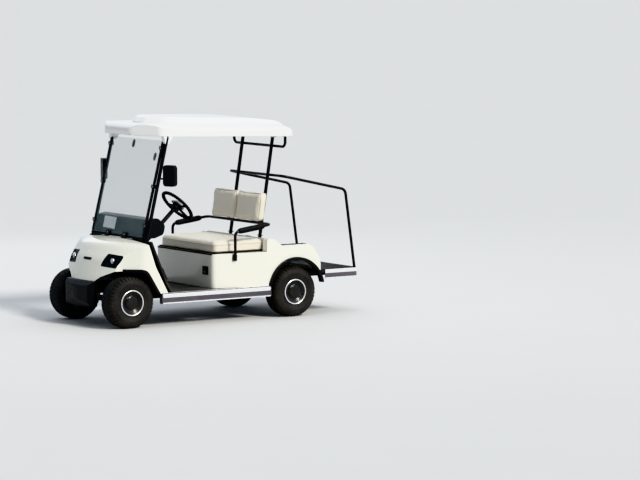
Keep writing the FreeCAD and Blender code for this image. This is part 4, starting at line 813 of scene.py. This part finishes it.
def seat_skirt():
    """Black edge roll round the seat pan, and the seal on the box under the cushion's front."""
    low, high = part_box("seat_pan")
    half, front, rear = high[1] / MM, high[0] / MM - FRONT_AXLE_X - 24, low[0] / MM - FRONT_AXLE_X
    z = (low[2] + high[2]) / 2 / MM
    line = wrapped(front, rear, half, 40, 10)
    section = boxed(-5, -6.3, 3.6, 6.3, 3, 30)
    roll = swept([at(p[0], p[1], z) for p in line], section)
    piece("seat_skirt", roll, "black_plastic", "seat_lid", crease=50)
    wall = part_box("rear_body")[1][0] / MM - FRONT_AXLE_X
    line = wrapped(wall - 60, wall, BOX_HALF, 50, 10)[2:-2]
    section = rounded(((-1, -8, 0), (3.8, -8, 3), (3.8, 6, 3), (-1, 6, 0)), step=30)
    path = [at(p[0], p[1], low[2] / MM - 2) for p in line]
    piece("seat_seal", swept(path, [(-a, b) for a, b in section]), "black_plastic", crease=50)


seat_cushion()
seat_skirt()
for word, side in SIDES:
    backrest(word, side)


# Lamps let into the nose

LAMP_CORNERS = ((224, 542, 12), (421, 531, 12), (448, 641, 14), (256, 652, 14))
LAMP_DEEP = 20
AHEAD_X = 600


def lamp(word, side):
    """A housing that follows the nose, with its lens, reflector and bulb."""
    tree = surface("headlights")
    outline = rounded(LAMP_CORNERS, step=12)
    outline = [p for i, p in enumerate(outline) if (p - outline[i - 1]).length > 0.2]
    dense = divided(outline, 12)
    centre = middle_of(dense)

    def skin_x(p):
        """The cowl's face at a (y, z), found just inside the lamp's outline."""
        for pull in (1, 0.985, 0.96, 0.93):
            q = centre + (p - centre) * pull
            hit = tree.ray_cast(at(AHEAD_X, side * q[0], q[1]), Vector((-1, 0, 0)))[0]
            if hit is not None:
                return hit.x / MM - FRONT_AXLE_X
        raise ValueError("the lamp's outline misses the housing")

    def ring(scale, depth):
        made = []
        for p in dense:
            q = centre + (p - centre) * scale
            made.append(at(skin_x(q) - depth, side * q[0], q[1]))
        return made

    levels = ((0.60, 23), (0.997, 22.5), (0.997, 0.6), (0.985, -0.8), (0.93, -0.8), (0.90, 1.5),
              (0.885, LAMP_DEEP - 6), (0.86, LAMP_DEEP - 3), (0.60, LAMP_DEEP))
    points = [p for scale, depth in levels for p in ring(scale, depth)]
    faces = stack_faces(len(levels), len(dense), side < 0)
    housing = piece(f"lamp_housing_{word}", (points, faces), "black_plastic", crease=30)
    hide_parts("headlights")

    levels = ((0, 2.4), (0.3, 2.2), (0.6, 1.8), (0.9, 1.2), (0.925, 0.4), (0.9, -1.6), (0.6, -2), (0.3, -2.2),
              (0, -2.4))
    points = [p for scale, depth in levels for p in ring(scale, depth)]
    faces = grid_faces(len(levels), len(dense), wrap_columns=True, flip=side < 0)
    piece(f"lamp_lens_{word}", (points, faces), "lamp_lens")
    middle = centre + Vector((8, 2))
    face_x = skin_x(middle)
    seat = at(face_x - LAMP_DEEP + 1, side * middle[0], middle[1])
    bowl = [(0, 1), (5, 1.4), (10, 3), (15, 6.5), (19, 11), (21, 14.5), (23, 15), (24, 13),
            (24, -1), (0, -1)]
    way = Vector((1, 0.10 * side, 0))
    piece(f"lamp_reflector_{word}", turned(bowl, seat, way, 40), "bright_edge", material=CHROME)
    bulb = [(0, 0), (5, 0), (5, 6), (7.5, 8), (8.5, 11), (7, 14), (3.5, 16), (0, 16.6)]
    piece(f"lamp_bulb_{word}", turned(bulb, seat, way, 20), "lamp_lens", material=CARD)


for word, side in SIDES:
    lamp(word, side)


# Plain badge plate on the nose

def nose_plate():
    """A bare plate that follows the nose."""
    tree = surface("front_cowl")
    outline = boxed(-76, 584, 64, 607, 10, 18)
    dense = divided(outline, 12)
    centre = middle_of(dense)
    levels = ((1, -0.8), (1, 1.4), (0.985, 2.2), (0.93, 2.4), (0.90, 1.7), (0.45, 1.8), (0, 1.8))
    points = []
    for scale, proud in levels:
        for p in dense:
            q = centre + (p - centre) * scale
            hit = tree.ray_cast(at(AHEAD_X, q[0], q[1]), Vector((-1, 0, 0)))[0]
            points.append(hit + Vector((proud * MM, 0, 0)))
    piece("nose_plate", (points, stack_faces(len(levels), len(dense), top=False)), "black_plastic")


nose_plate()


# Sills and platform edge: bright strips over a grey ribbed face

PLATFORM_OUT = 498.5
PLATFORM_FRONT = -2100
PLATFORM_REAR = -2468
SILL_OUT = 596
SILL_X = (-1440, -300)


def strip_section(top, out):
    """Closed (y, z) outlines of the bright top cap and the thin lower line of a sill."""
    cap = ((out - 46, top + 0.4, 0), (out + 0.2, top + 1.2, 15), (out + 2, top - 20, 10),
           (out + 0.8, top - 42, 4), (out - 1.5, top - 42, 0), (out - 0.6, top - 1.4, 9),
           (out - 46, top - 0.6, 0))
    line = ((out - 0.5, top - 84, 0), (out + 2.2, top - 85, 2), (out + 2.2, top - 94, 2),
            (out - 0.5, top - 95, 0))
    return cap, line


def sill(word, side):
    """The bright cap and line along a sill and a rounded stop at each of its ends."""
    stations = [SILL_X[0] - 1, *np.linspace(SILL_X[0] + 8, SILL_X[1] - 8, 12), SILL_X[1] + 1]
    for kind, corners in zip(("cap", "line"), strip_section(FLOOR_Z, SILL_OUT)):
        outline = rounded(corners, step=15)
        points = [at(x, side * p[0], p[1]) for x in stations for p in outline]
        piece(f"sill_{kind}_{word}", (points, stack_faces(len(stations), len(outline), side < 0)),
              "bright_edge", crease=30)
    for end, x, way in (("front", SILL_X[1], 1), ("rear", SILL_X[0], -1)):
        outline = rounded(((548, 204, 8), (597.5, 204, 10), (597.5, 301.5, 12), (548, 301.5, 8)), step=15)
        centre = middle_of(outline)
        rows = ((1, -2), (1, 3), (0.97, 6.5), (0.90, 9), (0.60, 10.5), (0, 11))
        points = [at(x + way * t, side * (centre[0] + (p[0] - centre[0]) * s),
                     centre[1] + (p[1] - centre[1]) * s) for s, t in rows for p in outline]
        faces = stack_faces(len(rows), len(outline), side * way < 0, top=False)
        piece(f"sill_end_{end}_{word}", (points, faces), "sill_plastic", crease=30)


for word, side in SIDES:
    sill(word, side)


def platform_beads():
    """Grey channel round the platform with a bright rolled top and a thin bright foot."""
    line = wrapped(PLATFORM_FRONT, PLATFORM_REAR, PLATFORM_OUT, 45, 9)
    path = [at(p[0], p[1], PLATFORM_Z) for p in divided(line, 40, closed=False)]
    core = ((1, -2, 0), (4.6, -2, 2), (4.6, -37, 0), (3.4, -39, 0), (3.4, -48, 0), (4.6, -50, 0),
            (4.6, -60, 0), (3.4, -62, 0), (3.4, -71, 0), (4.6, -73, 0), (4.6, -83, 0), (1, -83, 0))
    top = ((3, 0, 0), (6.5, 0, 3), (7.2, -14, 12), (5.6, -34, 6), (3, -36, 0))
    foot = ((3, -74, 0), (7, -75, 2.5), (7, -84, 2.5), (3, -84, 0))
    for name, corners, slot in (("platform_channel", core, "sill_plastic"),
                                ("platform_bead_upper", top, "bright_edge"),
                                ("platform_bead_lower", foot, "bright_edge")):
        made = piece(name, swept(path, rounded(corners, step=18)), slot, crease=30)
        if slot == "sill_plastic":
            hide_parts("platform_edges")


platform_beads()


# Ribbed mats

RIB = 16


def ribbed(name, start, end, half, thick, place):
    """A mat with ribs along its length: place(s, y, t) gives frame metres."""
    columns = []
    y = -half
    while y < half - RIB * 0.5:
        for dy, t in ((0, 0.5), (0.12, 1), (0.55, 1), (0.67, 0.5)):
            columns.append((y + dy * RIB, thick * t))
        y += RIB
    columns.append((half, thick * 0.5))
    rows = list(np.linspace(start, end, 9))
    points = [place(s, y, t) for s in rows for y, t in columns]
    under = len(points)
    points += [place(s, y, 0) for s in rows for y, t in (columns[0], columns[-1])]
    count = len(columns)
    faces = grid_faces(len(rows), count, flip=True)
    for i in range(len(rows) - 1):
        a, b = under + 2 * i, under + 2 * i + 2
        faces += [(a, a + 1, b + 1, b), (i * count, a, b, (i + 1) * count),
                  (i * count + count - 1, (i + 1) * count + count - 1, b + 1, a + 1)]
    last = len(rows) - 1
    faces.append([under, *range(0, count), under + 1][::-1])
    faces.append([under + 2 * last, *range(last * count, last * count + count), under + 2 * last + 1])
    piece(name, (points, faces), "floor_rubber", crease=25)


ribbed("floor_mat", -872, -440, 538, 4, lambda s, y, t: at(s, y, FLOOR_Z + t - 0.1))
ribbed("platform_mat", -2462, -2058, 480, 3.5, lambda s, y, t: at(s, y, PLATFORM_Z + t - 0.1))


# Windscreen furniture

SCREEN_LOW = (-182, 795)
SCREEN_HIGH = (-399, 1655)
SCREEN_HALF = 459


def screen_x(z):
    (x0, z0), (x1, z1) = SCREEN_LOW, SCREEN_HIGH
    return x0 + (x1 - x0) * (z - z0) / (z1 - z0)


def on_screen(outline, behind, thickness, name, slot, material=None):
    """A small plate lying on the screen's cabin side; the outline is (y, z)."""
    plate = prism(outline, thickness, lambda a, b, t: at(screen_x(b) - behind - t, a, b))
    softened(piece(name, plate, slot, material=material), 0.8)


card_outline = rounded(((-289, 842, 3), (-78, 838, 3), (-80, 941, 3), (-291, 945, 3)), step=30)
on_screen(card_outline, 0.4, 0.9, "screen_card", "roof_white", CARD)
for word, y, z in (("right", -59, 1609), ("left", 356, 1510)):
    outline = [Vector((y + 19 * a, z + 36 * b)) for a, b in circle(1, 28)]
    on_screen(outline, 0.2, 9, f"screen_pad_{word}", "black_plastic")


def screen_edges():
    """Black rubber channel over the screen's side edges."""
    (x0, z0), (x1, z1) = SCREEN_LOW, SCREEN_HIGH
    lean = math.hypot(x1 - x0, z1 - z0)
    along = Vector(((x1 - x0) / lean, 0, (z1 - z0) / lean))
    ahead = Vector((along[2], 0, -along[0]))
    outline = boxed(-8, -7, 8.5, 22, 3, 30)
    for word, side in SIDES:
        points, steps = [], 12
        for k in range(steps + 1):
            spot = at(x0, 0, z0) + along * (lean - 14) * MM * k / steps + along * 8 * MM
            points += [spot + ahead * p[0] * MM + Vector((0, side, 0)) * (SCREEN_HALF - p[1]) * MM
                       for p in outline]
        piece(f"screen_edge_{word}", (points, stack_faces(steps + 1, len(outline))), "grip_black", crease=40)


screen_edges()


# Cabin detail

def arm_pads():
    """Moulded sleeves over the armrest tubes' slopes."""
    start, end = Vector((-1122, 811.5)), Vector((-1404, 848))
    steps, around = 24, 20
    for word, side in SIDES:
        path, radii = [], []
        for k in range(steps + 1):
            t = k / steps
            p = start.lerp(end, t)
            path.append(at(p[0], side * 549, p[1]))
            swell = math.sin(math.pi * min(1, 6 * t) / 2) * math.sin(math.pi * min(1, 6 * (1 - t)) / 2)
            radii.append(14.5 + 12 * max(0, swell) ** 0.5)
        points, faces = swept(path, circle(1, around))
        for k in range(len(points)):
            i = k // around
            points[k] = path[i] + (points[k] - path[i]) * radii[i]
        piece(f"arm_sleeve_{word}", (points, faces), "grip_black", crease=60)


arm_pads()

WHEEL_HUB = (-638, 290, 1055)
GRIP_CIRCLE = 161
GRIP_RADIUS = 15
COLUMN_TILT = math.radians(43)
TO_DRIVER = Vector((-math.cos(COLUMN_TILT), 0, math.sin(COLUMN_TILT)))


def steering_pad():
    """Rounded centre pad, card clip and grip ribs of the steering wheel."""
    hub = at(*WHEEL_HUB)
    across = Vector((0, 1, 0))
    down = TO_DRIVER.cross(across)

    def place(a, b, t):
        return hub + (across * a + down * b + TO_DRIVER * t) * MM

    outline = rounded(((-66, -52, 22), (66, -52, 22), (46, 60, 26), (-46, 60, 26)), step=12)
    rows = ((1, 2), (1, 12), (0.96, 16), (0.86, 18.5), (0.5, 20), (0, 20.4))
    points = [place(p[0] * s, p[1] * s, t) for s, t in rows for p in outline]
    pad = (points, stack_faces(len(rows), len(outline), True, top=False))
    piece("steering_pad", pad, "grip_black", "steering_wheel", PALE_GREY)
    clip = boxed(-38, -34, 38, -16, 6, 20)
    softened(piece("steering_clip", prism(clip, 5, lambda a, b, t: place(a, b, 20 + t)), "bright_edge",
                   "steering_wheel", ZINC), 1.2)
    parts = []
    for spoke in spokes(36, across, down):
        centre = hub + spoke * GRIP_CIRCLE * MM
        ring = [centre + (spoke * a + TO_DRIVER * b) * MM for a, b in circle(GRIP_RADIUS, 20)]
        parts.append(swept(ring, circle(1.9, 6), closed=True))
    piece("steering_grip_ribs", merged(parts), "grip_black", "steering_wheel", crease=60)


steering_pad()

DASH_FACE_X = -408
DASH_KNOB_Z = 892


def dash_detail():
    """Switch, selector knob and pocket lips on the dash."""
    back = Vector((-1, 0, 0.12)).normalized()
    key, knob = (at(DASH_FACE_X, y, DASH_KNOB_Z) for y in (60, -20))
    profile = [(0, -4), (17, -4), (17, 3), (15, 5.5), (9, 6), (8, 3.5), (0, 3.5)]
    piece("key_switch", turned(profile, key, back, 28), "bright_edge", material=ZINC)
    profile = [(0, -4), (20, -4), (20, 2), (18, 3), (11, 3.5), (10, 12), (12.5, 17), (12, 24),
               (8, 27), (0, 27.6)]
    piece("selector_knob", turned(profile, knob, back, 28), "grip_black")
    for k, (y0, y1) in enumerate(((-440, -120), (120, 262), (318, 440))):
        outline = rounded(((y0, 836, 8), (y1, 836, 8), (y1, 841.5, 2), (y0, 841.5, 2)), step=20)
        lip = prism(outline, 6, lambda a, b, t: at(DASH_FACE_X + 5 - t, a, b))
        softened(piece(f"pocket_lip_{k + 1}", lip, "black_plastic"), 1.5)


dash_detail()


MIRROR_AT = (-384, 590, 1350)
MIRROR_TURN = 20


def mirror_glass():
    """Silvered plates on the mirrors' rear faces."""
    for word, side in SIDES:
        turn = math.radians(MIRROR_TURN) * side
        ahead = Vector((math.cos(turn), math.sin(turn), 0))
        across = Vector((-math.sin(turn), math.cos(turn), 0))
        middle = at(MIRROR_AT[0], side * MIRROR_AT[1], MIRROR_AT[2])
        outline = boxed(-56, -85, 56, 85, 24, 12)
        rows = ((1, 20), (1, 22), (0.97, 22.6), (0, 22.8))
        points = [middle + (across * p[0] * s + Vector((0, 0, 1)) * p[1] * s - ahead * t) * MM
                  for s, t in rows for p in outline]
        faces = stack_faces(len(rows), len(outline), True, top=False)
        piece(f"mirror_glass_{word}", (points, faces), "bright_edge", material=MIRROR_FACE)


mirror_glass()


def pedal_pads():
    """Ribbed rubber over the two pedals."""
    for word, y, width in (("brake", 330, 95), ("drive", 200, 75)):
        half = width / 2 - 3
        low, high = Vector((-479, 400)), Vector((-429, 505))
        along = (high - low).normalized()
        square = Vector((-along[1], along[0]))
        parts = []
        for k in range(8):
            s0 = 6 + k * 13
            section = rounded(((s0, -1, 0), (s0 + 9, -1, 0), (s0 + 8, 4, 1.5), (s0 + 1, 4, 1.5)), step=30)
            points = [at(low[0] + along[0] * a + square[0] * b, y + t, low[1] + along[1] * a + square[1] * b)
                      for t in (-half, half) for a, b in section]
            parts.append((points, stack_faces(2, len(section))))
        piece(f"pedal_ribs_{word}", merged(parts), "floor_rubber")


pedal_pads()


SOCKET_AT = (-872, 380, 458)


def socket_cover():
    """Flap, hinge and latch of the charging socket on the seat box."""
    x, y0, z0 = SOCKET_AT
    outline = boxed(y0 - 38, z0 - 30, y0 + 38, z0 + 28, 7, 15)
    softened(piece("socket_flap", prism(outline, 3, lambda a, b, t: at(x + t, a, b)), "black_plastic"), 1.2)
    pin = [at(x + 3, y0 + dy, z0 + 31) for dy in (-30, 30)]
    piece("socket_hinge", swept(pin, circle(3.4)), "black_plastic")
    latch = turned([(0, 0), (9, 0), (9, 4), (7, 6), (0, 6.4)], at(x + 3, y0, z0 - 14), (1, 0, 0), 24)
    piece("socket_latch", latch, "black_plastic", material=PALE_GREY)


socket_cover()


# Fixings

def row_of_heads(name, spots, radius, height, slot, material=None):
    """Round heads at (origin, way) spots as one piece."""
    heads = [dome_head(origin, way, radius, height) for origin, way in spots]
    piece(name, merged(heads), slot, material=material, crease=40)


def screen_bolts():
    """Clip bolts from both sides of the screen, and one in each foot."""
    spots = []
    for side in (1, -1):
        for z in (900, 1250, 1590):
            for ahead, way in ((14, 1), (-14, -1)):
                spots.append((at(screen_x(z) + ahead, side * 452, z), Vector((way, 0, 0))))
        spots.append((at(screen_x(806) + 23, side * 150, 806), Vector((1, 0, 0.4)).normalized()))
    row_of_heads("screen_bolts", spots, 6, 3.5, "black_steel", ZINC)


screen_bolts()


def roof_bolts():
    """Bolts through the roof's front gussets into the posts."""
    spots = []
    for side in (1, -1):
        for z in (1662, 1686):
            spots.append((at(-428, side * 494, z), Vector((0, side, 0))))
    row_of_heads("roof_bolts", spots, 7, 4, "black_steel", ZINC)


roof_bolts()


def deck_screws():
    """Screws along the bag well's rim."""
    spots = [(at(x, side * 479, 661.3), Vector((0, 0, 1))) for side in (1, -1) for x in (-1660, -1760, -1860)]
    row_of_heads("well_screws", spots, 5.5, 2.6, "black_plastic")


deck_screws()


# (pair, y of the tubes, (x, z) of their low and high ends, z of the shell, ring between its bore corners)
POST_HOLES = (("front", 480, (-182, 690), (-425, 1696), 781,
               ((25, -2), (25, 1.5), (22, 4), (18, 6.5), (16.5, 6.5))),
              ("rear", 253, (-1547, 745), (-1698, 1696), 731.5,
               ((28, -2), (28, 1.5), (24, 4.5), (18, 8), (16.5, 8))))


def grommets():
    """Rubber rings where the tubes pass through the shells."""
    for end, y, (x0, z0), (x1, z1), z, outline in POST_HOLES:
        parts = []
        for side in (1, -1):
            low, high = Vector((x0, side * y, z0)), Vector((x1, side * y, z1))
            spot = low.lerp(high, (z - z0) / (z1 - z0))
            parts.append(turned([(16.5, -2), *outline, (16.5, -2)], at(*spot), (high - low).normalized(), 32))
        piece(f"post_grommets_{end}", merged(parts), "black_plastic")


grommets()


# Under the body

CLAMP_BEND = ((-27, -24), (-27, 24), (-22, 29), (22, 29), (27, 24), (27, -24))


def spring_clamps():
    """U-bolts round the leaf springs, with their nuts."""
    parts = []
    for x, seat in ((0, 253), (REAR_AXLE_X, 270)):
        for side in (1, -1):
            for dx in (-32, 32):
                y = side * 200
                path = [at(x + dx, y + dy, seat + dz) for dy, dz in CLAMP_BEND]
                parts.append(swept(path, circle(5, 10)))
                for dy in (-27, 27):
                    parts.append(hex_head(at(x + dx, y + dy, seat + 24 - 52), (0, 0, -1), 16, 9, 9))
    piece("spring_clamps", merged(parts), "black_steel", material=ZINC)


spring_clamps()


MOTOR_Z = 260
MOTOR_AHEAD = 92 + 92 + 0.3  # from the rear axle's line, square to the motor


def motor_detail():
    """End rings and cooling ribs of the drive motor, and the gear case's bolts."""
    rise = MOTOR_Z - TYRE_RADIUS
    x, z = REAR_AXLE_X + math.sqrt(MOTOR_AHEAD ** 2 - rise ** 2), MOTOR_Z
    parts = []
    for k in range(11):
        y = -95 + k * 19 + 10
        parts.append(turned([(91, -3), (95.5, -2.2), (95.5, 2.2), (91, 3)], at(x, y, z), (0, 1, 0), 56))
    for y, way in ((-125, -1), (145, 1)):
        parts.append(turned([(60, 0), (88, 0), (86, 4), (60, 5)], at(x, y, z), (0, way, 0), 48))
    piece("motor_ribs", merged(parts), "motor_shell", crease=30)
    bolts = []
    for x, z in circle(80, 10):
        for side in (1, -1):
            bolts.append((at(REAR_AXLE_X + x, side * 75, TYRE_RADIUS + z), Vector((0, side, 0))))
    row_of_heads("gear_case_bolts", bolts, 6.5, 5, "black_steel", ZINC)


motor_detail()


BATTERY_TOP = 550
BATTERY_X = -1011
BATTERY_LONG = 195
BATTERY_WIDE = 250


def battery_tops():
    """Lids, caps, posts and links over the battery block."""
    top, lids, caps, posts, cables = BATTERY_TOP, [], [], [], []
    for row in range(2):
        for column in range(3):
            x, y = BATTERY_X - row * BATTERY_LONG, (column - 1) * BATTERY_WIDE
            outline = boxed(x - 90, y - 118, x + 90, y + 118, 8, 22.5)
            lids.append(prism(outline, 7, lambda a, b, t: at(a, b, top - 0.5 + t)))
            for k in range(3):
                caps.append(turned([(0, 0), (15, 0), (15, 5), (12, 8), (0, 8.5)],
                                   at(x, y + (k - 1) * 60, top + 6), (0, 0, 1), 20))
            for dy in (-95, 95):
                posts.append(turned([(0, 0), (9, 0), (8, 14), (0, 14.5)], at(x + 62, y + dy, top + 6),
                                    (0, 0, 1), 20))
        for column in range(2):
            x, y = BATTERY_X - row * BATTERY_LONG + 62, (column - 1) * BATTERY_WIDE + 95
            path = [at(x, y, top + 15), at(x + 4, y + 20, top + 21), at(x + 4, y + 40, top + 21),
                    at(x, y + 60, top + 15)]
            cables.append(swept(path, circle(5, 10)))
    for name, parts, slot, material in (("battery_lids", lids, "battery_case", None),
                                        ("battery_caps", caps, "battery_case", PALE_GREY),
                                        ("battery_posts", posts, "bright_edge", ZINC),
                                        ("battery_links", cables, "black_plastic", None)):
        piece(name, merged(parts), slot, material=material)


battery_tops()


# Floor, light and camera

GROUND_HALF = 600
GROUND_CELLS = 24


def ground():
    half, size = GROUND_HALF, GROUND_CELLS
    points = [(-half + 2 * half * i / size, -half + 2 * half * j / size, -0.0005)
              for i in range(size + 1) for j in range(size + 1)]
    mesh = bpy.data.meshes.new("ground")
    mesh.from_pydata(points, [], grid_faces(size + 1, size + 1, flip=True))
    mesh.update()
    look = Look("ground_mat", (0.66, 0.66, 0.655), 0.85)
    look.tint(look.spread(look.noise(0.9, 3), 0.3, 0.7, 0, 0.12), (0.60, 0.60, 0.60))
    look.raise_by(look.noise(220, 2), 0.05)
    mesh.materials.append(look.done())
    obj = linked("ground", mesh)


ground()


def area_light(name, place, aim, width, height, power, colour):
    data = bpy.data.lights.new(name, "AREA")
    data.shape = "RECTANGLE"
    data.size, data.size_y = width, height
    data.energy = power
    data.color = colour
    obj = linked(name, data)
    obj.location = place
    obj.rotation_euler = (Vector(aim) - Vector(place)).to_track_quat("-Z", "Y").to_euler()


def far_key(way, strength, spread, colour):
    """The key: a broad far lamp over the driver's side, as even on the floor as on the cart."""
    data = bpy.data.lights.new("key", "SUN")
    data.energy = strength
    data.angle = math.radians(spread)
    data.color = colour
    linked("key", data).rotation_euler = Vector(way).to_track_quat("-Z", "Y").to_euler()


far_key((0.20, -0.80, -0.66), 2.9, 14, (1, 0.96, 0.88))
area_light("far_fill", (-2, -7, 4), (0, 0, 0.7), 4, 3, 45, (0.92, 0.96, 1))
area_light("top", (-0.4, 0.6, 7), (-0.2, 0, 0), 5, 4, 60, (0.97, 0.98, 1))


def studio():
    """Pale surroundings, a little dimmer and cooler ahead of the cart than behind it."""
    world = bpy.data.worlds.new("studio")
    world.use_nodes = True
    tree = world.node_tree
    place = tree.nodes.new("ShaderNodeTexCoord").outputs["Generated"]
    split = tree.nodes.new("ShaderNodeSeparateXYZ")
    tree.links.new(place, split.inputs[0])
    ramp = tree.nodes.new("ShaderNodeMapRange")
    for key, number in (("From Min", -0.5), ("From Max", 0.7), ("To Min", 0.92), ("To Max", 0.42)):
        ramp.inputs[key].default_value = number
    tree.links.new(split.outputs[0], ramp.inputs["Value"])
    tree.nodes["Background"].inputs[0].default_value = (0.84, 0.91, 1, 1)
    tree.links.new(ramp.outputs[0], tree.nodes["Background"].inputs[1])
    bpy.context.scene.world = world
    bpy.context.scene.view_settings.view_transform = "Khronos PBR Neutral"


studio()

CAMERA_AT = (16.54014745, 26.96198713, 3.59340223)
CAMERA_TURN = (84.75336741541078, 0.16609381555953467, 146.53570262967847)
CAMERA_LENS = 194.248536
camera_data = bpy.data.cameras.new("camera")
camera_data.sensor_width = 36
camera_data.lens = CAMERA_LENS
camera_data.clip_end = 2000
camera = linked("camera", camera_data)
camera.location = CAMERA_AT
camera.rotation_euler = [math.radians(a) for a in CAMERA_TURN]
bpy.context.scene.camera = camera
